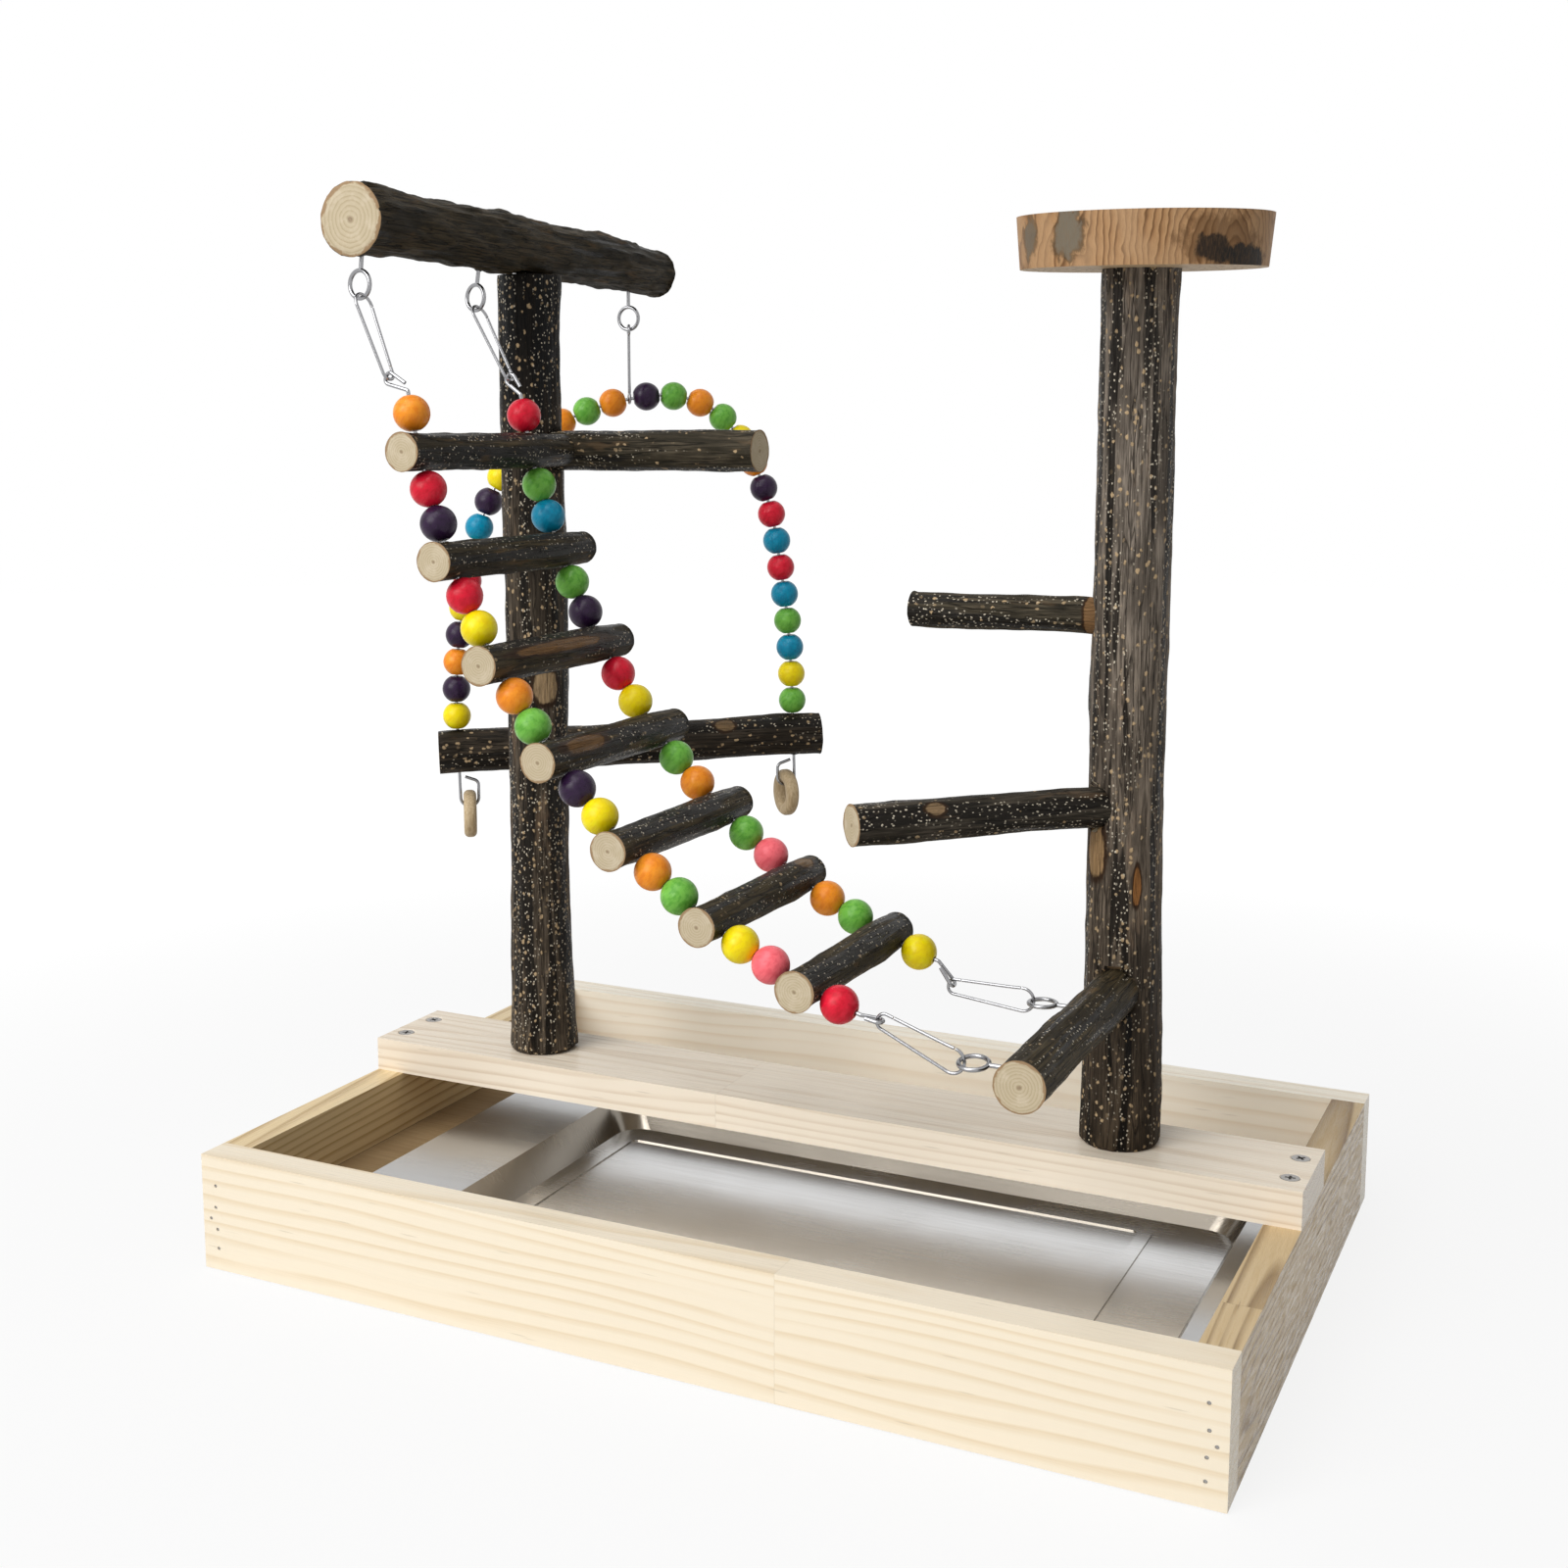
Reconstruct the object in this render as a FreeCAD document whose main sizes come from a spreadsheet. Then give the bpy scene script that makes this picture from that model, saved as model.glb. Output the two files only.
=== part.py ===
import FreeCAD, Part
import math
import os

import Sketcher
from FreeCAD import Placement, Rotation, Vector

# Parrot play stand: a low pine box with a tray, two bark-covered posts, perches, a bead ladder and a swing.
# Frame: X to the right along the box, Y to the back, Z up; origin on the ground under the middle of the box.
# Millimetres.

DIMENSIONS = {
    # base box
    "box_width": 450,
    "box_depth": 300,
    "box_height": 52,
    "board_thick": 15,
    "floor_top": 23,
    "floor_thick": 5,
    "groove_depth": 4,
    "groove_play": 0.2,
    "plank_width": 50,
    "plank_thick": 16,
    "nail_dia": 1.4,
    "nail_length": 28,
    # cross-head screws of the plank
    "screw_inset": 7.5,
    "screw_pair_half": 11.5,
    "screw_head_dia": 7.6,
    "screw_shank_dia": 3.6,
    "screw_length": 40,
    "countersink_deep": 2.45,
    "screw_cross": 4.2,
    "screw_cross_wide": 1.1,
    "screw_cross_deep": 1.6,
    "joint_screw_dia": 4,
    "joint_screw_length": 26,
    "post_screw_length": 38,
    "hole_play": 0.2,
    # posts
    "post_x": 144,
    "left_post_dia": 29.4,
    "left_post_top": 436.5,
    "right_post_dia": 31.4,
    "right_post_top": 429,
    # branches across the posts
    "top_perch_dia": 28.6,
    "top_perch_front": 129.5,
    "top_perch_length": 248,
    "top_perch_height": 449,
    "left_perch_dia": 18.8,
    "left_perch_tip": 118.5,
    "left_perch_height": 356.8,
    "upper_perch_dia": 15.5,
    "upper_perch_tip": 96,
    "upper_perch_height": 290,
    "middle_perch_dia": 17.2,
    "middle_perch_tip": 124,
    "middle_perch_height": 212.4,
    "lower_perch_dia": 20,
    "lower_perch_tip": 137,
    "lower_perch_height": 136,
    "seat_play": 0.5,
    # round platform
    "platform_wide": 102,
    "platform_deep": 82,
    "platform_tilt_front": 2.5,
    "platform_tilt_right": 1,
    "platform_thick": 20.5,
    # tray
    "tray_sheet": 0.8,
    "tray_height": 15,
    "tray_left": -166,
    "tray_right": 207.5,
    "tray_front": -132.5,
    "tray_back": 35,
    "tray_ledge": 47,
    "tray_rim": 9.5,
    "tray_back_rim": 5,
    "tray_wall_run": 7.5,
    "tray_back_run": 4.3,
    "tray_corner": 12,
    "panel_left": -105,
    "panel_right": 157,
    "panel_front": -106,
    "panel_back": 15.5,
    "panel_bead": 6,
    "panel_rise": 0.6,
    # ladder
    "ladder_radius": 290.2,
    "ladder_centre_x": 163.3,
    "ladder_centre_height": 424.6,
    "ladder_first_turn": 193.46,
    "ladder_last_turn": 247.69,
    "strand_near": -122,
    "strand_far": -40,
    "rung_dia": 16.2,
    "ladder_wire_dia": 1.6,
    "wire_hole_dia": 3,
    "ladder_bead_dia": 15,
    "ladder_bead_length": 14.2,
    "ladder_bead_pitch": 14.6,
    "ladder_bead_from_rung": 15.6,
    # eye screws
    "eye_radius": 5.6,
    "eye_wire_dia": 1.8,
    "eye_stem_length": 17,
    "eye_drop": 10.5,
    "top_eye_x": -144.8,
    "top_eye_entry": 434.5,
    "near_eye_lean": 7,
    "far_eye_lean": 9,
    "near_eye_twist": -8,
    "far_eye_twist": -14,
    "bottom_eye_x": 121.6,
    "bottom_eye_height": 135.6,
    "near_bottom_eye_roll": 9,
    "far_bottom_eye_roll": 0,
    # snap hooks
    "clip_wire_dia": 1.3,
    "clip_length": 37,
    "clip_wide": 10,
    "clip_narrow": 6,
    "near_top_clip_slope": 68.2,
    "far_top_clip_slope": 61.6,
    "near_bottom_clip_slope": 22.3,
    "far_bottom_clip_slope": 3.4,
    "near_clip_sag": 2.2,
    "far_clip_sag": 0,
    # swing
    "swing_y": 90.7,
    "swing_yaw": 35.5,
    "swing_eye_height": 422.2,
    "swing_wire_dia": 1.6,
    "swing_crest": 382.0,
    "swing_perch_dia": 22,
    "swing_perch_left": 99.9,
    "swing_perch_right": 98.8,
    "swing_perch_height": 202.6,
    "swing_perch_rise": 4.6,
    "swing_stem_left": -89.4,
    "swing_stem_right": 85.6,
    "swing_bead_dia": 14.2,
    "swing_bead_length": 12.8,
    "swing_bead_pitch_left": 13.91,
    "swing_bead_pitch_right": 14.09,
    "hook_loop_radius": 2.3,
    "hook_wire_dia": 1.5,
    # chewing rings
    "ring_outer_dia": 24.5,
    "ring_hole_dia": 11,
    "ring_thick": 6.5,
    "ring_edge": 2.6,
    "ring_gap": 0.6,
    "hook_gap": 0.42,
    "left_ring_height": 170.3,
    "right_ring_height": 176.1,
    "right_ring_twist": 12,
}

doc = FreeCAD.newDocument("PlayStand")
nodes = []


def make_sheet():
    """The driving dimensions, one row each, with the name as the alias of its value."""
    table = doc.addObject("Spreadsheet::Sheet", "Dimensions")
    for row, (name, value) in enumerate(DIMENSIONS.items(), 1):
        table.set(f"A{row}", name)
        table.set(f"B{row}", str(value))
        table.setAlias(f"B{row}", name)
    doc.recompute()
    return table


sheet = make_sheet()


def size(name):
    """A driving dimension, as the sheet holds it."""
    return float(getattr(sheet, name))


def cell(expression):
    """Turn bare dimension names in an expression into references to the sheet."""
    words = expression.replace("(", " ( ").replace(")", " ) ").split()
    return " ".join("Dimensions." + word if word in DIMENSIONS else word for word in words)


def bind(feature, **sizes):
    """Bind properties of a feature to expressions of driving dimensions."""
    for name, expression in sizes.items():
        feature.setExpression(name, cell(expression))


def new_body(label, placement=Placement()):
    body = doc.addObject("PartDesign::Body", label)
    body.Label = label
    body.Placement = placement
    return body


def keep(body):
    """Mark a finished sub-part as one that gets a file of its own."""
    nodes.append(body)
    return body


def new_sketch(body, name, role="XY_Plane", offset=Placement()):
    """A sketch on one of the body's own origin planes."""
    sketch = body.newObject("Sketcher::SketchObject", name)
    plane = [feature for feature in body.Origin.OriginFeatures if feature.Role == role][0]
    sketch.AttachmentSupport = [(plane, "")]
    sketch.MapMode = "FlatFace"
    sketch.AttachmentOffset = offset
    return sketch


def add_rectangle(sketch, width, height):
    """A rectangle centred on the sketch's origin, its sides bound to two expressions."""
    corners = [Vector(-1, -1, 0), Vector(1, -1, 0), Vector(1, 1, 0), Vector(-1, 1, 0)]
    lines = [Part.LineSegment(corners[i], corners[(i + 1) % 4]) for i in range(4)]
    first = sketch.addGeometry(lines, False)[0]
    joints = [Sketcher.Constraint("Coincident", first + i, 2, first + (i + 1) % 4, 1) for i in range(4)]
    level = [Sketcher.Constraint("Horizontal", first + i) for i in (0, 2)]
    upright = [Sketcher.Constraint("Vertical", first + i) for i in (1, 3)]
    centre = [Sketcher.Constraint("Symmetric", first, 1, first + 2, 1, -1, 1)]
    sketch.addConstraint(joints + level + upright + centre)
    wide = sketch.addConstraint(Sketcher.Constraint("DistanceX", first, 1, first, 2, 2))
    high = sketch.addConstraint(Sketcher.Constraint("DistanceY", first + 1, 1, first + 1, 2, 2))
    sketch.setExpression(f"Constraints[{wide}]", cell(width))
    sketch.setExpression(f"Constraints[{high}]", cell(height))


def add_circle(sketch, radius, x="0", y="0"):
    """A circle whose radius and centre are bound to expressions."""
    circle = sketch.addGeometry(Part.Circle(Vector(1, 1, 0), Vector(0, 0, 1), 1), False)
    for kind, text in (("DistanceX", x), ("DistanceY", y)):
        if text == "0":
            other = "PointOnObject"
            axis = -2 if kind == "DistanceX" else -1
            sketch.addConstraint(Sketcher.Constraint(other, circle, 3, axis))
        else:
            place = sketch.addConstraint(Sketcher.Constraint(kind, -1, 1, circle, 3, 1))
            sketch.setExpression(f"Constraints[{place}]", cell(text))
    round_ = sketch.addConstraint(Sketcher.Constraint("Radius", circle, 1))
    sketch.setExpression(f"Constraints[{round_}]", cell(radius))


def add_profile(sketch, points):
    """A closed outline of straight lines through the given points."""
    loop = [Vector(x, y, 0) for x, y in points]
    count = len(loop)
    lines = [Part.LineSegment(loop[i], loop[(i + 1) % count]) for i in range(count)]
    sketch.addGeometry(lines, False)
    joints = [Sketcher.Constraint("Coincident", i, 2, (i + 1) % count, 1) for i in range(count)]
    sketch.addConstraint(joints)


def pad(body, sketch, length):
    feature = body.newObject("PartDesign::Pad", "Pad")
    feature.Profile = sketch
    bind(feature, Length=length)
    return feature


def cut_box(body, place, length, width, height):
    """Take a box out of a body; the place is its low corner."""
    feature = body.newObject("PartDesign::SubtractiveBox", "Notch")
    feature.Placement = Placement(Vector(*place), Rotation())
    bind(feature, Length=length, Width=width, Height=height)
    return feature


def facing(direction, spin=0):
    """The rotation that turns local Z to a direction."""
    return Rotation(Vector(0, 0, 1), Vector(*direction)).multiply(Rotation(Vector(0, 0, 1), spin))


def drill(body, start, direction, radius, depth):
    """A round hole from a start point along a direction, both in the body's own frame."""
    feature = body.newObject("PartDesign::SubtractiveCylinder", "Hole")
    feature.Placement = Placement(Vector(*start), facing(direction))
    bind(feature, Radius=radius, Height=depth)
    return feature


def branch(label, placement, length, dia, stations):
    """A branch along local Z: a smooth loft through round sections.

    Each station is the share of the length, the thickness factor, and the bend to X and Y.
    """
    body = new_body(label, placement)
    rings = []
    for number, (share, thickness, bend_x, bend_y) in enumerate(stations):
        offset = Placement(Vector(bend_x, bend_y, 0), Rotation())
        sketch = new_sketch(body, f"Section{number}", offset=offset)
        sketch.setExpression("AttachmentOffset.Base.z", cell(f"( {length} ) * {share}"))
        add_circle(sketch, f"{dia} / 2 * {thickness}")
        rings.append(sketch)
    loft = body.newObject("PartDesign::AdditiveLoft", "Wood")
    loft.Profile = rings[0]
    loft.Sections = rings[1:]
    return body


def rounded_path(points, radii=None):
    """Lines joined by tangent arcs through the points; without radii each arc is as large as fits."""
    spots = [Vector(*point) for point in points]
    edges = []
    here = spots[0]
    for number in range(1, len(spots) - 1):
        before = spots[number] - spots[number - 1]
        after = spots[number + 1] - spots[number]
        half = before.getAngle(after) / 2
        if radii and radii[number - 1]:
            radius = radii[number - 1]
        else:
            radius = 0.45 * min(before.Length, after.Length) / math.tan(half)
        reach = radius * math.tan(half)
        start = spots[number] - before.normalize() * reach
        finish = spots[number] + after.normalize() * reach
        inward = (after - before).normalize()
        centre = spots[number] + inward * (radius / math.cos(half))
        middle = centre - inward * radius
        if (start - here).Length > 1e-6:
            edges.append(Part.LineSegment(here, start))
        edges.append(Part.Arc(start, middle, finish))
        here = finish
    edges.append(Part.LineSegment(here, spots[-1]))
    return edges


def bend_wire(body, name, edges, dia):
    """A round wire swept along a flat path in the body's XY plane."""
    spine = new_sketch(body, name + "Path")
    spine.addGeometry(edges, False)
    start = edges[0].StartPoint
    ahead = edges[0].toShape().tangentAt(edges[0].FirstParameter)
    section = body.newObject("Sketcher::SketchObject", name + "Section")
    section.Placement = Placement(start, facing(ahead))
    add_circle(section, f"{dia} / 2")
    pipe = body.newObject("PartDesign::AdditivePipe", name)
    pipe.Profile = section
    pipe.Spine = spine
    return pipe


def copies(label, pattern, placements):
    """One sub-part made of separate, equal solids."""
    links = []
    for number, placement in enumerate(placements, 1):
        link = doc.addObject("App::Link", f"{label}_{number}")
        link.LinkedObject = pattern
        link.Placement = placement
        links.append(link)
    group = doc.addObject("Part::Compound", label)
    group.Label = label
    group.Links = links
    return keep(group)


# ---------------------------------------------------------------- base box


def long_board(label, face_y, groove_side):
    """Front or back board: the full width, with the floor's groove on its inner side."""
    body = new_body(label, Placement(Vector(0, face_y, 0), Rotation()))
    sketch = new_sketch(body, "Outline")
    add_rectangle(sketch, "box_width", "board_thick")
    pad(body, sketch, "box_height")
    low = size("floor_top") - size("floor_thick") - size("groove_play")
    inner = size("board_thick") / 2 * groove_side
    reach = size("groove_depth")
    run = size("box_width") / 2 - size("board_thick") + reach
    corner_y = inner - reach if groove_side > 0 else inner
    cut_box(body, (-run, corner_y, low), "box_width - 2 * board_thick + 2 * groove_depth",
            "groove_depth", "floor_thick + 2 * groove_play")
    return keep(body)


def side_board(label, face_x, groove_side):
    """Side board between the long boards, with the floor's groove on its inner side."""
    body = new_body(label, Placement(Vector(face_x, 0, 0), Rotation()))
    sketch = new_sketch(body, "Outline")
    add_rectangle(sketch, "board_thick", "box_depth - 2 * board_thick")
    pad(body, sketch, "box_height")
    low = size("floor_top") - size("floor_thick") - size("groove_play")
    inner = size("board_thick") / 2 * groove_side
    reach = size("groove_depth")
    corner_x = inner - reach if groove_side > 0 else inner
    run = size("box_depth") / 2 - size("board_thick")
    cut_box(body, (corner_x, -run, low), "groove_depth", "box_depth - 2 * board_thick",
            "floor_thick + 2 * groove_play")
    drill_plank_screws(body, size("box_height"), "screw_length - plank_thick + 0.5")
    return keep(body)


def nail_spots():
    """The brads of one corner: their height and how far in they sit, a little uneven as hammered."""
    return [(9.8, 7.8), (18.6, 7.6), (23.2, 4.2), (28.6, 7), (38.5, 7.4)]


def drill_nails(body, direction):
    """The brads' holes through a long board."""
    start = -direction * size("board_thick") / 2
    for side in (-1, 1):
        for height, inset in nail_spots():
            x = side * (size("box_width") / 2 - inset)
            drill(body, (x, start, height), (0, direction, 0), "nail_dia / 2 + hole_play / 2", "board_thick")


def drill_side_nails(body):
    """The brads' holes into the end grain of a side board."""
    centre = size("box_width") / 2 - size("board_thick") / 2
    end = size("box_depth") / 2 - size("board_thick")
    side = 1 if body.Placement.Base.x > 0 else -1
    for direction in (-1, 1):
        for height, inset in nail_spots():
            x = side * (size("box_width") / 2 - inset - centre)
            drill(body, (x, direction * end, height), (0, -direction, 0), "nail_dia / 2 + hole_play / 2",
                  "nail_length - board_thick + hole_play")


def make_nails():
    """Headless brads through the long boards into the side boards, sunk just below the face."""
    pattern = new_body("nail_pattern")
    sketch = new_sketch(pattern, "Outline")
    add_circle(sketch, "nail_dia / 2")
    pad(pattern, sketch, "nail_length - 0.3")
    places = []
    for direction in (-1, 1):
        face = direction * (size("box_depth") / 2 - 0.3)
        for side in (-1, 1):
            for height, inset in nail_spots():
                x = side * (size("box_width") / 2 - inset)
                places.append(Placement(Vector(x, face, height), facing((0, -direction, 0))))
    copies("frame_nails", pattern, places)


def make_box():
    half_deep = (size("box_depth") - size("board_thick")) / 2
    half_wide = (size("box_width") - size("board_thick")) / 2
    drill_nails(long_board("front_board", -half_deep, 1), 1)
    drill_nails(long_board("back_board", half_deep, -1), -1)
    drill_side_nails(side_board("left_side_board", -half_wide, 1))
    drill_side_nails(side_board("right_side_board", half_wide, -1))
    floor = new_body("floor_panel", Placement(Vector(0, 0, size("floor_top") - size("floor_thick")), Rotation()))
    sketch = new_sketch(floor, "Outline")
    room = "- 2 * board_thick + 2 * groove_depth - 4 * groove_play"
    add_rectangle(sketch, f"box_width {room}", f"box_depth {room}")
    pad(floor, sketch, "floor_thick")
    keep(floor)
    make_nails()


# ---------------------------------------------------------------- plank and its screws


def plank_screw_places():
    x = size("box_width") / 2 - size("screw_inset")
    y = size("screw_pair_half")
    return [(side * x, row * y) for side in (-1, 1) for row in (-1, 1)]


def drill_plank_screws(body, top, depth):
    """Holes for the plank's screws that fall in a body, down from the given height of its own frame."""
    centre = body.Placement.Base.x
    for x, y in plank_screw_places():
        if centre * x >= 0:
            drill(body, (x - centre, y, top), (0, 0, -1), "screw_shank_dia / 2 + hole_play / 2", depth)


def make_plank():
    body = new_body("cross_plank", Placement(Vector(0, 0, size("box_height")), Rotation()))
    sketch = new_sketch(body, "Outline")
    add_rectangle(sketch, "box_width", "plank_width")
    pad(body, sketch, "plank_thick")
    drill_plank_screws(body, size("plank_thick"), "plank_thick")
    for x, y in plank_screw_places():
        cone = body.newObject("PartDesign::SubtractiveCone", "Countersink")
        cone.Placement = Placement(Vector(x, y, size("plank_thick") - size("countersink_deep")), Rotation())
        bind(cone, Radius1="screw_shank_dia / 2 + hole_play / 2",
             Radius2="screw_shank_dia / 2 + hole_play / 2 + countersink_deep", Height="countersink_deep")
    for x, y in post_screw_places():
        drill(body, (x, y, 0), (0, 0, 1), "joint_screw_dia / 2 + hole_play / 2", "plank_thick")
        head = body.newObject("PartDesign::SubtractiveCylinder", "HeadRoom")
        head.Placement = Placement(Vector(x, y, 0), Rotation())
        bind(head, Radius="screw_head_dia / 2 + hole_play", Height="2.4")
    keep(body)


def make_plank_screws():
    """Countersunk screw with a cross recess, its head flush with the plank."""
    pattern = new_body("plank_screw_pattern")
    head = size("screw_head_dia") / 2
    shank = size("screw_shank_dia") / 2
    length = size("screw_length")
    sketch = new_sketch(pattern, "Outline", "XZ_Plane")
    add_profile(sketch, [(0, 0), (head, 0), (head, -0.3), (shank, -0.3 - head + shank),
                         (shank, -length + 5), (0, -length)])
    turn = pattern.newObject("PartDesign::Revolution", "Turned")
    turn.Profile = sketch
    turn.ReferenceAxis = (sketch, ["V_Axis"])
    turn.Angle = 360
    for wide, long_ in (("screw_cross", "screw_cross_wide"), ("screw_cross_wide", "screw_cross")):
        slot = pattern.newObject("PartDesign::SubtractiveBox", "Cross")
        slot.Placement = Placement(Vector(-size(wide) / 2, -size(long_) / 2, -size("screw_cross_deep")), Rotation())
        bind(slot, Length=wide, Width=long_, Height="screw_cross_deep + 1")
    top = size("box_height") + size("plank_thick") - 0.1
    places = [Placement(Vector(x, y, top), Rotation(Vector(0, 0, 1), 20 + 37 * number))
              for number, (x, y) in enumerate(plank_screw_places())]
    copies("plank_screws", pattern, places)


def post_screw_places():
    return [(side * size("post_x"), row * 6) for side in (-1, 1) for row in (-1, 1)]


def make_post_screws():
    """Pan-head screws from under the plank up into the posts, two to each."""
    pattern = new_body("post_screw_pattern")
    head = size("screw_head_dia") / 2
    shank = size("joint_screw_dia") / 2
    length = size("post_screw_length")
    sketch = new_sketch(pattern, "Outline", "XZ_Plane")
    add_profile(sketch, [(0, 0), (head, 0), (head, 1.8), (shank, 1.8), (shank, length - 4), (0, length)])
    turn = pattern.newObject("PartDesign::Revolution", "Turned")
    turn.Profile = sketch
    turn.ReferenceAxis = (sketch, ["V_Axis"])
    turn.Angle = 360
    places = [Placement(Vector(x, y, size("box_height") + 0.4), Rotation()) for x, y in post_screw_places()]
    copies("post_screws", pattern, places)


# ---------------------------------------------------------------- posts, perches and platform


def platform_place():
    """The platform's under face: it is not quite level, as the post's top was sawn a little askew."""
    front = math.tan(math.radians(size("platform_tilt_front")))
    right = math.tan(math.radians(size("platform_tilt_right")))
    return Placement(Vector(size("post_x"), 0, size("right_post_top")), facing((right, -front, 1)))


def make_posts():
    bottom = size("box_height") + size("plank_thick")
    left = branch("left_post", Placement(Vector(-size("post_x"), 0, bottom), Rotation()),
                  "left_post_top - box_height - plank_thick", "left_post_dia",
                  [(0, 1.12, 0.6, 0), (0.05, 1.08, 0.4, 0), (0.16, 1.0, 0, 0), (0.45, 0.99, 0.3, 0.4),
                   (0.78, 1.0, -0.3, 0), (1, 1.04, 0, 0)])
    right = branch("right_post", Placement(Vector(size("post_x"), 0, bottom), Rotation()),
                   "right_post_top + 1.5 - box_height - plank_thick", "right_post_dia",
                   [(0, 1.09, 0, 0), (0.07, 1.08, 0.2, 0), (0.25, 1.02, -0.6, 0), (0.5, 1.0, -1.2, 0.5),
                    (0.75, 1.0, -0.7, 0), (1, 1.01, -0.4, 0)])
    for post, side in ((left, -1), (right, 1)):
        for x, y in post_screw_places():
            if x * side > 0:
                drill(post, (x - side * size("post_x"), y, 0), (0, 0, 1), "joint_screw_dia / 2 + hole_play / 2",
                      "post_screw_length - plank_thick + 1")
    drill(left, (0, 0, size("left_post_top") - bottom), (0, 0, -1), "joint_screw_dia / 2 + hole_play / 2",
          "joint_screw_length / 2 + 1")
    drill(right, (0, 0, size("right_post_top") - bottom + 2), (0, 0, -1), "joint_screw_dia / 2 + hole_play / 2",
          "joint_screw_length / 2 + 3")
    sawn = right.newObject("PartDesign::SubtractiveBox", "SawnTop")
    seat = platform_place()
    sawn.Placement = Placement(seat.Base - right.Placement.Base, seat.Rotation).multiply(
        Placement(Vector(-30, -30, 0), Rotation()))
    bind(sawn, Length="60", Width="60", Height="10")
    return {"left": left, "right": right}


def perch_on_post(label, post, side, height, direction, dia, tip, seat, stations, screws):
    """A perch that sits in a shallow round seat in the post, held by a hidden double-ended screw."""
    reach = Vector(*direction).normalize()
    axis = Vector(side * size("post_x"), 0, size(height))
    foot = axis + reach * seat
    body = branch(label, Placement(foot, facing(tuple(reach))), f"{tip} - {seat}", dia, stations)
    drill(body, (0, 0, 0), (0, 0, 1), "joint_screw_dia / 2 + hole_play / 2", "joint_screw_length / 2 + 1")
    local = foot - post.Placement.Base
    first = stations[0][1]
    drill(post, tuple(local), tuple(reach), f"{dia} / 2 * {first} + seat_play / 2", "12")
    drill(post, tuple(local), tuple(reach * -1), "joint_screw_dia / 2 + hole_play / 2",
          f"{seat} + 0.6" if seat < 12 else "joint_screw_length / 2 + 1")
    screws.append(Placement(foot - reach * (size("joint_screw_length") / 2), facing(tuple(reach))))
    return body


def make_perches(posts, screws):
    """The four side perches; each seat is the distance of the perch's foot from the post's axis."""
    gentle = [(0, 1.0, 0, 0), (0.35, 0.99, 0.2, 0.3), (0.7, 1.01, -0.2, 0.1), (1, 1.0, 0, 0)]
    keep(perch_on_post("left_post_perch", posts["left"], -1, "left_perch_height", (1, 0, 0), "left_perch_dia",
                       "left_perch_tip", 12.6, gentle, screws))
    keep(perch_on_post("right_upper_perch", posts["right"], 1, "upper_perch_height", (-1, 0, 0),
                       "upper_perch_dia", "upper_perch_tip", 14.2, gentle, screws))
    keep(perch_on_post("right_middle_perch", posts["right"], 1, "middle_perch_height", (-0.69, -0.72, 0.002),
                       "middle_perch_dia", "middle_perch_tip", 13.4, gentle, screws))
    lower = perch_on_post("right_lower_perch", posts["right"], 1, "lower_perch_height", (0, -1, -0.012),
                          "lower_perch_dia", "lower_perch_tip", 13, gentle, screws)
    for strand in ("near", "far"):
        local = lower.Placement.inverse().multVec(bottom_eye_place(strand).Base)
        along = lower.Placement.Rotation.inverted().multVec(Vector(1, 0, 0))
        drill(lower, tuple(local), tuple(along), "eye_wire_dia / 2 + hole_play / 2",
              "eye_radius + eye_stem_length + 3")
    keep(lower)
    for post in posts.values():
        keep(post)


def make_top_perch(screws):
    """The cross branch, thicker in front, with a flat seat on the left post."""
    front = Vector(-size("post_x"), -size("top_perch_front"), size("top_perch_height"))
    body = branch("top_perch", Placement(front, facing((0, 1, 0))), "top_perch_length", "top_perch_dia",
                  [(0, 1.06, 0, 0), (0.1, 1.03, 0, -1.0), (0.28, 0.99, 0, -0.6), (0.45, 1.0, 0, -0.2),
                   (0.64, 0.96, 0, 0.5), (0.8, 0.95, 0, 0.2), (0.92, 0.90, 0, 2.2), (1, 0.85, 0, 2.8)])
    into_local = body.Placement.inverse()

    def hole(place, direction, radius, depth):
        start = into_local.multVec(Vector(*place))
        along = body.Placement.Rotation.inverted().multVec(Vector(*direction))
        return drill(body, tuple(start), tuple(along), radius, depth)

    x = -size("post_x")
    hole((x, 0, size("left_post_top") - 5), (0, 0, 1), "left_post_dia / 2 * 1.04 + seat_play", "5")
    hole((x, 0, size("left_post_top") - 1), (0, 0, 1), "joint_screw_dia / 2 + hole_play / 2",
         "joint_screw_length / 2 + 2")
    for strand in ("near", "far"):
        eye = top_eye_place(strand)
        hole(tuple(eye.Base), tuple(eye.Rotation.multVec(Vector(0, 0, 1))), "eye_wire_dia / 2 + hole_play / 2", "28")
    hole((x, size("swing_y"), size("swing_eye_height")), (0, 0, 1), "eye_wire_dia / 2 + hole_play / 2", "28")
    half = size("joint_screw_length") / 2
    screws.append(Placement(Vector(x, 0, size("left_post_top") - half), Rotation()))
    keep(body)


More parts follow.
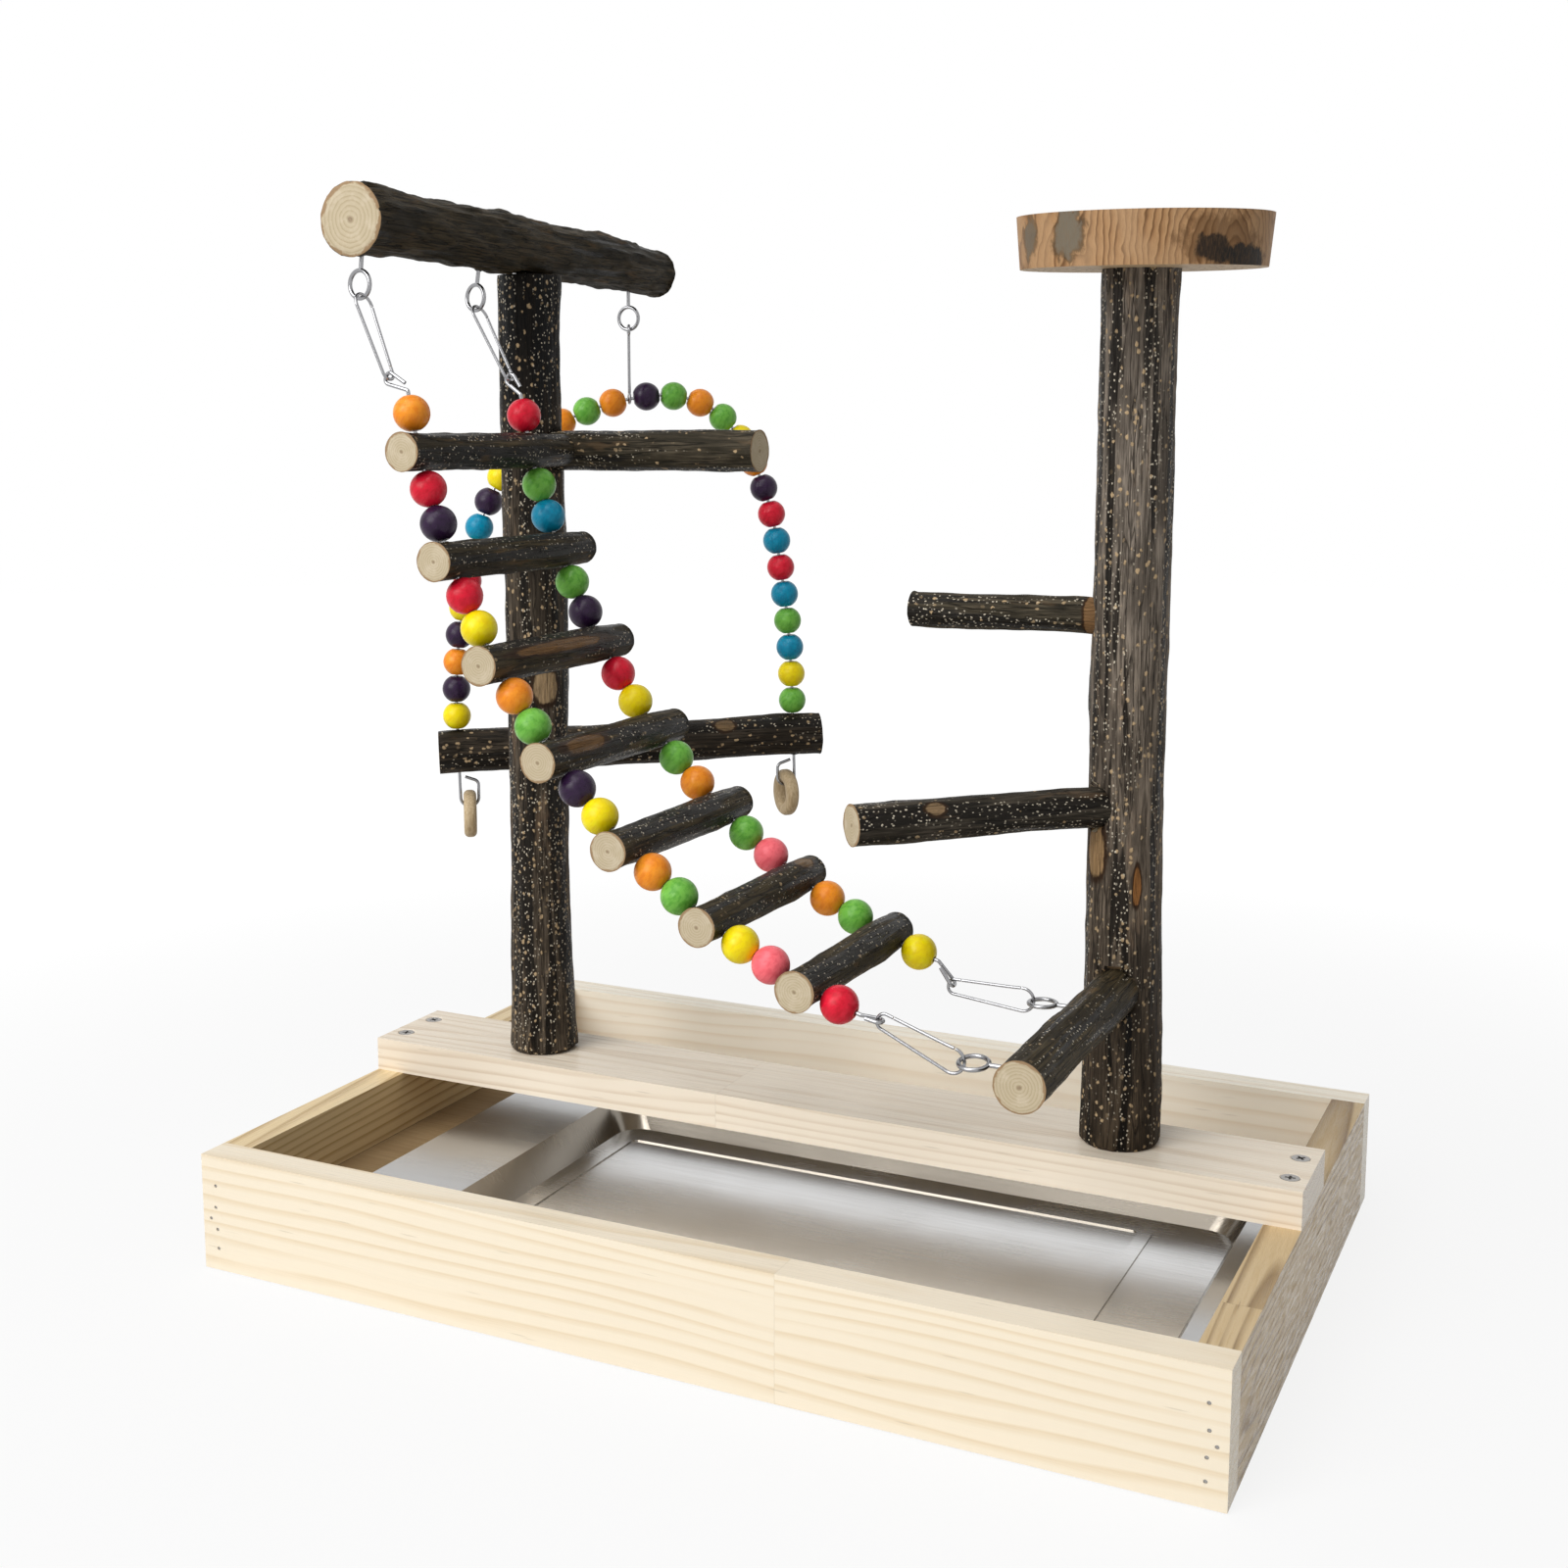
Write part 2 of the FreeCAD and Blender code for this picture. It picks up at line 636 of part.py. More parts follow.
def make_platform(screws):
    """An oval slice of wood, slightly narrower at its lower face."""
    base = Vector(size("post_x"), 0, size("right_post_top"))
    body = new_body("round_platform", platform_place())
    faces = []
    for number, (height, share) in enumerate((("0", 0.965), ("platform_thick", 1))):
        sketch = new_sketch(body, f"Face{number}")
        sketch.setExpression("AttachmentOffset.Base.z", cell(height))
        wide = size("platform_wide") / 2 * share
        deep = size("platform_deep") / 2 * share
        oval = Part.Ellipse(Vector(wide, 0, 0), Vector(0, deep, 0), Vector(0, 0, 0))
        sketch.addGeometry(oval, False)
        faces.append(sketch)
    loft = body.newObject("PartDesign::AdditiveLoft", "Slice")
    loft.Profile = faces[0]
    loft.Sections = faces[1:]
    upright = body.Placement.Rotation.inverted().multVec(Vector(0, 0, 1))
    drill(body, tuple(upright * -2), tuple(upright), "joint_screw_dia / 2 + hole_play / 2",
          "joint_screw_length / 2 + 3")
    screws.append(Placement(base - Vector(0, 0, size("joint_screw_length") / 2), Rotation()))
    keep(body)


def make_joint_screws(places):
    """Headless screws, pointed at both ends, hidden inside the branch joints."""
    pattern = new_body("joint_screw_pattern")
    radius = size("joint_screw_dia") / 2
    length = size("joint_screw_length")
    sketch = new_sketch(pattern, "Outline", "XZ_Plane")
    add_profile(sketch, [(0, 0), (radius, 3), (radius, length - 3), (0, length)])
    turn = pattern.newObject("PartDesign::Revolution", "Turned")
    turn.Profile = sketch
    turn.ReferenceAxis = (sketch, ["V_Axis"])
    turn.Angle = 360
    copies("perch_screws", pattern, places)


# ---------------------------------------------------------------- tray


def rounded_box(low, high, bottom, height, corner):
    """A box with round upright corners, from its low and high corners."""
    block = Part.makeBox(high[0] - low[0], high[1] - low[1], height, Vector(low[0], low[1], bottom))
    upright = [edge for edge in block.Edges if abs(edge.tangentAt(edge.FirstParameter).z) > 0.99]
    return block.makeFillet(corner, upright)


def outline(low, high, height, corner):
    """A closed wire round a rectangle with round corners."""
    plate = rounded_box(low, high, height, 1, corner)
    floor = min(plate.Faces, key=lambda face: face.CenterOfMass.z)
    return floor.OuterWire


def make_tray():
    """One pressed sheet: flat rim, a wide ledge on the left, sloped walls and a raised line on the floor."""
    base = size("floor_top")
    thick = size("tray_sheet")
    rim_top = base + size("tray_height")
    low = (size("tray_left"), size("tray_front"))
    high = (size("tray_right"), size("tray_back"))
    corner = size("tray_corner")
    run = size("tray_wall_run")
    mouth_low = (low[0] + size("tray_ledge"), low[1] + size("tray_rim"))
    mouth_high = (high[0] - size("tray_rim"), high[1] - size("tray_back_rim"))
    floor_low = (mouth_low[0] + run, mouth_low[1] + run)
    floor_high = (mouth_high[0] - run, mouth_high[1] - size("tray_back_run"))
    rim = rounded_box(low, high, rim_top - thick, thick, corner)

    def bowl(shrink, bottom):
        upper = outline((mouth_low[0] + shrink, mouth_low[1] + shrink),
                        (mouth_high[0] - shrink, mouth_high[1] - shrink), rim_top, corner)
        lower = outline((floor_low[0] + shrink, floor_low[1] + shrink),
                        (floor_high[0] - shrink, floor_high[1] - shrink), bottom, corner)
        return Part.makeLoft([lower, upper], True, True)

    body = rim.fuse(bowl(0, base)).cut(bowl(thick, base + thick))
    lip = 1.6
    skirt = rounded_box(low, high, rim_top - 2.4, 2.4, corner)
    inner = rounded_box((low[0] + lip, low[1] + lip), (high[0] - lip, high[1] - lip), rim_top - 3, 4, corner - lip)
    body = body.fuse(skirt.cut(inner))
    wide = size("panel_bead")
    panel_low = (size("panel_left"), size("panel_front"))
    panel_high = (size("panel_right"), size("panel_back"))
    ridge = rounded_box(panel_low, panel_high, base + thick, size("panel_rise"), 6)
    hollow = rounded_box((panel_low[0] + wide, panel_low[1] + wide), (panel_high[0] - wide, panel_high[1] - wide),
                         base + thick, size("panel_rise") + 1, 3)
    body = body.fuse(ridge.cut(hollow)).removeSplitter()
    tray = doc.addObject("Part::Feature", "droppings_tray")
    tray.Label = "droppings_tray"
    tray.Shape = body
    keep(tray)


# ---------------------------------------------------------------- ladder


def turn_at(rung):
    """The strand's arc angle at a rung, counted from 0."""
    first = size("ladder_first_turn")
    return first + (size("ladder_last_turn") - first) * rung / 6


def on_arc(turn, out=0):
    """A point of the strand's arc, in X and Z."""
    radius = size("ladder_radius") + out
    angle = math.radians(turn)
    return (size("ladder_centre_x") + radius * math.cos(angle),
            size("ladder_centre_height") + radius * math.sin(angle))


def turn_for(length):
    """The arc angle that a length along the strand covers."""
    return math.degrees(length / size("ladder_radius"))


RUNG_SPANS = [(-134, -14.5), (-134, -20.5), (-134.6, -23.5), (-134.6, -22), (-136, -23.4), (-132.9, -27),
              (-131.6, -28.5)]
RUNG_THICKNESS = [1.0, 1.01, 1.02, 1.01, 1.0, 0.99, 1.03]


def make_rungs():
    """Seven short branches, drilled for the two strands."""
    for number, ((near, far), thickness) in enumerate(zip(RUNG_SPANS, RUNG_THICKNESS)):
        x, z = on_arc(turn_at(number))
        body = branch(f"ladder_rung_{number + 1}", Placement(Vector(x, near, z), facing((0, 1, 0))),
                      f"{far - near}", "rung_dia",
                      [(0, thickness, 0, 0), (0.42, thickness * 0.98, 0.3, 0.2), (0.8, thickness, 0, 0),
                       (1, thickness * 0.88, 0, 0)])
        angle = math.radians(turn_at(number) + 90)
        along = Vector(math.cos(angle), 0, math.sin(angle))
        for y in (size("strand_near"), size("strand_far")):
            start = Vector(x, y, z) - along * size("rung_dia")
            local = body.Placement.inverse().multVec(start)
            ahead = body.Placement.Rotation.inverted().multVec(along)
            drill(body, tuple(local), tuple(ahead), "wire_hole_dia / 2", "rung_dia * 2")
        keep(body)


def bead_pattern(label, dia, length, hole):
    """A wooden bead along local Z: a ball with a hole and a flat round each mouth of it."""
    body = new_body(label)
    ball = size(dia) / 2
    half = size(length) / 2
    bore = size(hole) / 2
    flat = math.sqrt(ball ** 2 - half ** 2)
    sketch = new_sketch(body, "Outline", "XZ_Plane")
    top = Vector(flat, half, 0)
    bottom = Vector(flat, -half, 0)
    side = Part.Arc(bottom, Vector(ball, 0, 0), top)
    lines = [Part.LineSegment(top, Vector(bore, half, 0)),
             Part.LineSegment(Vector(bore, half, 0), Vector(bore, -half, 0)),
             Part.LineSegment(Vector(bore, -half, 0), bottom)]
    sketch.addGeometry([side] + lines, False)
    turn = body.newObject("PartDesign::Revolution", "Turned")
    turn.Profile = sketch
    turn.ReferenceAxis = (sketch, ["V_Axis"])
    turn.Angle = 360
    return body


# Bead colours from the top of each strand down: one, two after each rung, one at the foot.
LADDER_COLOURS = {
    "strand_near": ["orange", "red", "purple", "red", "yellow", "orange", "green", "purple", "yellow", "orange",
                    "green", "yellow", "pink", "red"],
    "strand_far": ["red", "green", "blue", "green", "purple", "red", "yellow", "green", "orange", "green",
                   "pink", "orange", "green", "yellow"],
}


def ladder_bead_turns():
    """The arc angles of the beads of one strand."""
    near = turn_for(size("ladder_bead_from_rung"))
    next_ = near + turn_for(size("ladder_bead_pitch"))
    turns = [turn_at(0) - near]
    for rung in range(7):
        turns.append(turn_at(rung) + near)
        if rung < 6:
            turns.append(turn_at(rung) + next_)
    return turns


def group_by_colour(prefix, pattern, placed):
    """One sub-part for the beads of each colour."""
    for colour in dict.fromkeys(colour for colour, place in placed):
        copies(f"{prefix}_{colour}", pattern, [place for name, place in placed if name == colour])


def make_ladder_beads():
    pattern = bead_pattern("ladder_bead_pattern", "ladder_bead_dia", "ladder_bead_length", "wire_hole_dia")
    placed = []
    for strand, colours in LADDER_COLOURS.items():
        for turn, colour in zip(ladder_bead_turns(), colours):
            x, z = on_arc(turn)
            angle = math.radians(turn + 90)
            along = (math.cos(angle), 0, math.sin(angle))
            placed.append((colour, Placement(Vector(x, size(strand), z), facing(along))))
    group_by_colour("ladder_beads", pattern, placed)


def end_loop(start, ahead, hook, across):
    """A teardrop loop at an end of a strand, from its neck round the snap hook and back beside the neck."""
    neck = start + ahead * 1.2
    hook_wire = hook_grip(hook, neck)
    reach = (hook_wire - neck).normalize()
    length = (hook_wire - neck).Length + 2.2
    across = (across - reach * across.dot(reach)).normalize()
    half = 2.7
    corners = [neck + reach * length + across * half, neck + reach * length - across * half,
               neck + reach * 2.6 - across * 2]
    return rounded_path([start, neck] + corners, [1.1, 1.9, 1.9])


def make_ladder_wire(strand):
    """One strand: a single wire bent to the ladder's arc, with a loop for a snap hook at each end."""
    y = size("strand_" + strand)
    turns = ladder_bead_turns()
    end = turn_for(size("ladder_bead_length") / 2 + 1)
    first = turns[0] - end
    last = turns[-1] + end

    def place(turn):
        x, z = on_arc(turn)
        return Vector(x, y, z)

    def heading(turn):
        angle = math.radians(turn + 90)
        return Vector(math.cos(angle), 0, math.sin(angle))

    run = Part.Arc(place(last), place((first + last) / 2), place(first))
    upper = end_loop(place(first), heading(first) * -1, top_clip_place(strand), heading(first - 90))
    lower = end_loop(place(last), heading(last), bottom_clip_place(strand), Vector(0, 1, 0))
    path = Part.Wire([edge.toShape() for edge in lower[::-1] + [run] + upper])
    start = lower[-1].EndPoint
    ahead = lower[-1].StartPoint - start
    section = Part.Wire([Part.makeCircle(size("ladder_wire_dia") / 2, start, ahead)])
    wire = doc.addObject("Part::Feature", "ladder_wire_" + strand)
    wire.Label = "ladder_wire_" + strand
    wire.Shape = path.makePipeShell([section], True, False)
    keep(wire)


# ---------------------------------------------------------------- eye screws and snap hooks


def eye_pattern():
    """An eye screw: a wire ring round local Y with its stem along Z from the ring's top."""
    body = new_body("eye_screw_pattern")
    ring = body.newObject("PartDesign::AdditiveTorus", "Ring")
    ring.Placement = Placement(Vector(0, 0, 0), Rotation(Vector(1, 0, 0), 90))
    bind(ring, Radius1="eye_radius", Radius2="eye_wire_dia / 2")
    stem = body.newObject("PartDesign::AdditiveCylinder", "Stem")
    stem.Placement = Placement(Vector(0, 0, size("eye_radius")), Rotation())
    bind(stem, Radius="eye_wire_dia / 2", Height="eye_stem_length")
    point = body.newObject("PartDesign::AdditiveCone", "Point")
    point.Placement = Placement(Vector(0, 0, size("eye_radius") + size("eye_stem_length")), Rotation())
    bind(point, Radius1="eye_wire_dia / 2", Radius2="0.1", Height="2")
    return body


def top_eye_place(strand):
    """An eye screw of the ladder under the top perch: screwed in a little askew and part turned."""
    lean = size(strand + "_eye_lean")
    entry = Vector(size("top_eye_x"), size("strand_" + strand), size("top_eye_entry"))
    stem = Rotation(Vector(0, 1, 0), lean)
    turned = stem.multiply(Rotation(Vector(0, 0, 1), size(strand + "_eye_twist")))
    return Placement(entry - stem.multVec(Vector(0, 0, size("eye_drop"))), turned)


def bottom_eye_place(strand):
    """An eye screw of the ladder at the lower perch, its ring lying nearly flat."""
    lying = Rotation(Vector(0, 1, 0), Vector(0, 0, 1), Vector(1, 0, 0), "XYZ")
    rolled = Rotation(Vector(1, 0, 0), size(strand + "_bottom_eye_roll")).multiply(lying)
    return Placement(Vector(size("bottom_eye_x"), size("strand_" + strand), size("bottom_eye_height")), rolled)


def make_eyes():
    pattern = eye_pattern()
    copies("ladder_top_eyes", pattern, [top_eye_place("near"), top_eye_place("far")])
    hang = Vector(-size("post_x"), size("swing_y"), size("swing_eye_height"))
    copies("swing_eye", pattern, [Placement(hang, Rotation())])
    copies("ladder_bottom_eyes", pattern, [bottom_eye_place("near"), bottom_eye_place("far")])


def hook_rest():
    """How far inside an eye ring's wire the snap hook's own wire lies."""
    return size("eye_wire_dia") / 2 + size("clip_wire_dia") / 2 + 0.3


def top_clip_place(strand):
    """Local X runs down the hook from the eye screw; local Y is across it, to the back."""
    slope = math.radians(size(strand + "_top_clip_slope"))
    centre = top_eye_place(strand).Base
    hang = centre - Vector(0, 0, size("eye_radius") - hook_rest())
    down = Vector(math.cos(slope), 0, -math.sin(slope))
    across = Vector(0, 1, 0)
    return Placement(hang, Rotation(down, across, down.cross(across), "XYZ"))


def bottom_clip_place(strand):
    """Local X runs up the hook from the eye screw to the ladder; local Y is upright."""
    slope = math.radians(size(strand + "_bottom_clip_slope"))
    sag = size(strand + "_clip_sag")
    centre = bottom_eye_place(strand).Base
    hang = centre - Vector(size("eye_radius") - hook_rest(), 0, 0)
    away = Vector(-math.cos(slope), 0, math.sin(slope))
    across = Vector(math.sin(slope), 0, math.cos(slope))
    return Placement(hang - across * sag - away * (sag * 0.3), Rotation(away, across, away.cross(across), "XYZ"))


def hook_grip(place, neck):
    """The place on a hook's round narrow end where its wire lies square to a loop that pulls to the neck."""
    bend = size("clip_narrow") / 2
    middle = place.multVec(Vector(size("clip_length") - bend, 0, 0))
    upright = place.Rotation.multVec(Vector(0, 0, 1))
    pull = neck - middle
    pull = (pull - upright * pull.dot(upright)).normalize()
    return middle + pull * bend


def make_clip(clip_label, gate_label, place):
    """A pear-shaped wire snap hook: the bent frame, and the springy leg that closes its wide end."""
    length = size("clip_length")
    wide = size("clip_wide") / 2
    narrow = size("clip_narrow") / 2
    frame = new_body(clip_label, place)
    path = rounded_path([(5.4, wide - 0.1, 0), (0, wide, 0), (0, -wide, 0), (length, -narrow, 0),
                         (length, narrow, 0), (length - 5.4, narrow + 0.3, 0)],
                        [wide * 0.98, wide * 0.97, narrow * 0.94, narrow * 0.94])
    bend_wire(frame, "Frame", path, "clip_wire_dia")
    keep(frame)
    gate = new_body(gate_label, place)
    bar = rounded_path([(length - 5.8, narrow + 0.32, 0), (10, wide - 0.5, 0), (6, wide - 0.15, 0)], [8])
    bend_wire(gate, "Gate", bar, "clip_wire_dia")
    keep(gate)


def make_clips():
    for strand in ("near", "far"):
        make_clip(f"top_clip_{strand}", f"top_gate_{strand}", top_clip_place(strand))
        make_clip(f"bottom_clip_{strand}", f"bottom_gate_{strand}", bottom_clip_place(strand))


# ---------------------------------------------------------------- swing


def swing_place(height=0):
    """The swing's plane: local X along its perch, local Y upright, local Z towards the front."""
    yaw = math.radians(size("swing_yaw"))
    along = Vector(math.cos(yaw), math.sin(yaw), 0)
    up = Vector(0, 0, 1)
    return Placement(Vector(-size("post_x"), size("swing_y"), height), Rotation(along, up, along.cross(up), "XYZ"))


def perch_level(along):
    """Height of the swing perch's axis at a distance from the hook."""
    span = size("swing_perch_left") + size("swing_perch_right")
    share = (along + size("swing_perch_left")) / span
    return size("swing_perch_height") + size("swing_perch_rise") * share


# The bead arch from its left leg to its right leg: distance from the hook, and height.
ARCH = [(-91, 250), (-79, 314), (-65.5, 346), (-38, 369.5), (-10, 380.5), (20, 385.2), (44, 378.5), (61.5, 357),
        (73.5, 326), (83.2, 262)]
LOOP_WIDTH = 9.2


def loop_foot(height):
    """Height of the loop's bottom wire, for a ring centred at the given height."""
    return size(height) + size("ring_hole_dia") / 2 - size("swing_wire_dia") / 2 - size("ring_gap")


def ring_loop(stem, foot, top, inward):
    """Corner points of the loop under one end of the perch, from its free end to its stem."""
    far = stem + inward * LOOP_WIDTH
    return [(stem + inward * 2.4, top - 2.2), (far, top - 4.6), (far, foot), (stem, foot)]


def arch_edges():
    """The whole bent wire of the swing, loop to loop."""
    half_perch = size("swing_perch_dia") / 2
    ends = []
    for stem, height, inward in (("swing_stem_left", "left_ring_height", 1),
                                 ("swing_stem_right", "right_ring_height", -1)):
        top = perch_level(size(stem)) - half_perch
        ends.append(ring_loop(size(stem), loop_foot(height), top, inward))
    points = ends[0] + ARCH + ends[1][::-1]
    radii = [3, 4.4, 4.4] + [None] * len(ARCH) + [4.4, 4.4, 3]
    return rounded_path([(x, y, 0) for x, y in points], radii)


def along_edges(edges, distance):
    """The point and direction at a distance along a chain of edges."""
    for edge in edges:
        shape = edge.toShape()
        if distance <= shape.Length:
            where = shape.getParameterByLength(distance)
            return shape.valueAt(where), shape.tangentAt(where)
        distance -= shape.Length
    raise ValueError("past the end of the wire")


# Bead colours of the swing, from the crest down.
SWING_COLOURS = {
    "left": ["orange", "green", "orange", "red", "blue", "yellow", "purple", "blue", "green", "red", "yellow",
             "purple", "orange", "purple", "yellow"],
    "right": ["purple", "green", "orange", "green", "yellow", "orange", "purple", "red", "blue", "red", "blue",
              "green", "blue", "yellow", "green"],
}


def make_swing_beads(edges):
    pattern = bead_pattern("swing_bead_pattern", "swing_bead_dia", "swing_bead_length", "wire_hole_dia")
    crest = min((abs(along_edges(edges, step)[0].x), step) for step in range(150, 400))[1]
    crest -= along_edges(edges, crest)[0].x
    half = size("swing_bead_length") / 2
    placed = []
    for leg, sign in (("left", -1), ("right", 1)):
        for number, colour in enumerate(SWING_COLOURS[leg]):
            travelled = crest + sign * (8.7 + number * size("swing_bead_pitch_" + leg))
            middle = along_edges(edges, travelled)[0]
            ends = [along_edges(edges, travelled + step)[0] for step in (-half, half)]
            centre = (middle * 2 + ends[0] + ends[1]) / 4
            local = Placement(centre, facing(tuple(ends[1] - ends[0])))
            placed.append((colour, swing_place().multiply(local)))
    group_by_colour("swing_beads", pattern, placed)
    lowest = [placed[14][1].Base.z, placed[29][1].Base.z]
    print("lowest swing beads at", [round(z, 2) for z in lowest])


def make_swing_perch():
    slope = size("swing_perch_rise")
    left = size("swing_perch_left")
    along = Vector(left + size("swing_perch_right"), slope, 0)
    foot = Placement(Vector(-left, size("swing_perch_height"), 0), facing(tuple(along)))
    body = branch("swing_perch", swing_place().multiply(foot), "swing_perch_left + swing_perch_right",
                  "swing_perch_dia",
                  [(0, 1.02, 0, 0), (0.2, 1.03, 0.2, 0.2), (0.5, 0.97, 0.1, -0.6), (0.8, 1.0, 0, 0.3),
                   (1, 1.0, 0, 0)])
    for stem, ring, leg in (("swing_stem_left", "left_ring_height", ARCH[0]),
                            ("swing_stem_right", "right_ring_height", ARCH[-1])):
        start = swing_place().multVec(Vector(size(stem), loop_foot(ring), 0))
        up = swing_place().multVec(Vector(leg[0], leg[1], 0)) - start
        local = body.Placement.inverse().multVec(start)
        along = body.Placement.Rotation.inverted().multVec(up)
        drill(body, tuple(local), tuple(along), "wire_hole_dia / 2", "60")
    keep(body)


def make_swing_hook():
    """A straight wire with a closed loop at each end, both loops across the perch's line."""
    ring_bottom = size("swing_eye_height") - size("eye_radius")
    thick = size("hook_wire_dia") / 2
    loop = size("hook_loop_radius")
    gap = size("hook_gap")
    upper = ring_bottom + size("eye_wire_dia") / 2 + thick + gap - loop
    lower = size("swing_crest") - size("swing_wire_dia") / 2 - thick - gap + loop
    body = new_body("swing_hook", swing_place())
    for height in (upper, lower):
        ring = body.newObject("PartDesign::AdditiveTorus", "Loop")
        ring.Placement = Placement(Vector(0, height, 0), Rotation(Vector(0, 1, 0), 90))
        bind(ring, Radius1="hook_loop_radius", Radius2="hook_wire_dia / 2")
        if height == upper:
            shank = body.newObject("PartDesign::AdditiveCylinder", "Shank")
            start = Vector(0, upper - loop, 0)
            shank.Placement = Placement(start, facing((0, -1, 0)))
            shank.Radius = thick
            shank.Height = upper - lower - 2 * loop
    keep(body)


def make_chewing_rings():
    """Flat wooden rings that hang loose in the loops under the perch."""
    pair = [("swing_ring_left", size("swing_stem_left") + LOOP_WIDTH / 2, "left_ring_height", 0),
            ("swing_ring_right", size("swing_stem_right") - LOOP_WIDTH / 2, "right_ring_height",
             size("right_ring_twist"))]
    for label, along, height, twist in pair:
        centre = swing_place().multVec(Vector(along, size(height), 0))
        yaw = math.radians(size("swing_yaw") + twist)
        body = new_body(label, Placement(centre, facing((math.cos(yaw), math.sin(yaw), 0))))
        sketch = new_sketch(body, "Outline")
        add_circle(sketch, "ring_outer_dia / 2")
        add_circle(sketch, "ring_hole_dia / 2")
        disc = pad(body, sketch, "ring_thick")
        disc.Midplane = True
        doc.recompute()
        soft = body.newObject("PartDesign::Fillet", "SoftEdges")
        soft.Base = (disc, [f"Edge{number + 1}" for number, edge in enumerate(disc.Shape.Edges)
                            if edge.Closed and abs(edge.CenterOfMass.z) > 1])
        bind(soft, Radius="ring_edge")
        keep(body)


def make_swing():
    edges = arch_edges()
    body = new_body("swing_wire", swing_place())
    bend_wire(body, "Arch", edges, "swing_wire_dia")
    keep(body)
    make_swing_perch()
    make_swing_hook()
    make_swing_beads(edges)
    make_chewing_rings()


# ---------------------------------------------------------------- the whole stand


def check_and_export():
    """Refuse a document with a failed feature, then write one file for each sub-part."""
    doc.recompute()
    bad = [item.Name for item in doc.Objects if "Invalid" in item.State or "Error" in item.State]
    for node in nodes:
        if node.Shape.isNull() or not node.Shape.isValid() or not node.Shape.Solids:
            bad.append(node.Label)
    if bad:
        raise SystemExit("failed: " + ", ".join(bad))
    os.makedirs("parts", exist_ok=True)
    for node in nodes:
        node.Shape.exportStep(f"parts/{node.Label}.step")
    print(len(nodes), "sub-parts written")


def main():
    joint_screws = []
    make_box()
    make_plank()
    make_plank_screws()
    make_post_screws()
    posts = make_posts()
    make_perches(posts, joint_screws)
    make_top_perch(joint_screws)
    make_platform(joint_screws)
    make_joint_screws(joint_screws)
    make_tray()
    make_rungs()
    make_ladder_beads()
    for strand in ("near", "far"):
        make_ladder_wire(strand)
    make_eyes()
    make_clips()
    make_swing()
    check_and_export()


main()
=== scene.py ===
import math

import bpy
from mathutils import Matrix, Vector


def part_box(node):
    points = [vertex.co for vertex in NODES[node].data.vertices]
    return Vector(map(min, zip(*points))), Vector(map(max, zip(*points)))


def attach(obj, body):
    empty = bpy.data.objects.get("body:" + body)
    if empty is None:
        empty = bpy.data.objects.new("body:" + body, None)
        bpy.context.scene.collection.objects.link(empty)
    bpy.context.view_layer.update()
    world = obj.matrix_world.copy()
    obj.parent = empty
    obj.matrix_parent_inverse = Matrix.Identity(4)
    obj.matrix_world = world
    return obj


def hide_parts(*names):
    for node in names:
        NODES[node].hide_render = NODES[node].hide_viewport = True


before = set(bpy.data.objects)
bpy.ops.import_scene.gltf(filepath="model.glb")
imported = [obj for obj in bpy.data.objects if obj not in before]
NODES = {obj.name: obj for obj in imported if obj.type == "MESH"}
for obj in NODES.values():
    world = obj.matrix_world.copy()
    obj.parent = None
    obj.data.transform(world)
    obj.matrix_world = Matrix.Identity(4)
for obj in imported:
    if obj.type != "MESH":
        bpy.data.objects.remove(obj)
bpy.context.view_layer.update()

# Rotations that point a texture's local Z along one of the stand's axes.
ALONG_X = (0, math.pi / 2, 0)
ALONG_Y = (math.pi / 2, 0, 0)
UPRIGHT = (0, 0, 0)


# ------------------------------------------------------------ camera, light and floor

CAMERA_PLACE = (0.3459, -0.7544, 0.3626)
CAMERA_TURN = (math.radians(90 - 8.177), 0, math.radians(25.555))
FOCAL_LENGTH_MM = 43.375
FRAME_SHIFT = (0.0015, -0.0478)

ROOM_LIGHT = 0.31         # how brightly the white room lights the stand
ROOM_SEEN = 1.0           # how bright it looks, directly and mirrored

FLOOR_RADIUS = 4
FLOOR_HEIGHT = -0.0004    # just below the box, so that the two never share a plane
FLOOR_GLOW = 1.06
GLOW_NEAR = 0.80          # how far the floor has faded into the room under the stand
GLOW_FAR_EXTRA = 0.20     # how much more it has faded at the outer distance
GLOW_DISTANCES = (0.35, 1.1)


def set_camera():
    """A camera at the photograph's place, angle and framing."""
    lens = bpy.data.cameras.new("camera")
    lens.sensor_width = 36
    lens.lens = FOCAL_LENGTH_MM
    lens.shift_x, lens.shift_y = FRAME_SHIFT
    lens.clip_start = 0.05
    camera = bpy.data.objects.new("camera", lens)
    camera.location = CAMERA_PLACE
    camera.rotation_euler = CAMERA_TURN
    bpy.context.scene.collection.objects.link(camera)
    bpy.context.scene.camera = camera


def add_lamp(name, place, aim, width, height, power):
    """One soft rectangular studio lamp."""
    lamp = bpy.data.lights.new(name, "AREA")
    lamp.shape = "RECTANGLE"
    lamp.size = width
    lamp.size_y = height
    lamp.energy = power
    stand = bpy.data.objects.new(name, lamp)
    stand.location = place
    stand.rotation_euler = (Vector(aim) - Vector(place)).to_track_quat("-Z", "Y").to_euler()
    bpy.context.scene.collection.objects.link(stand)


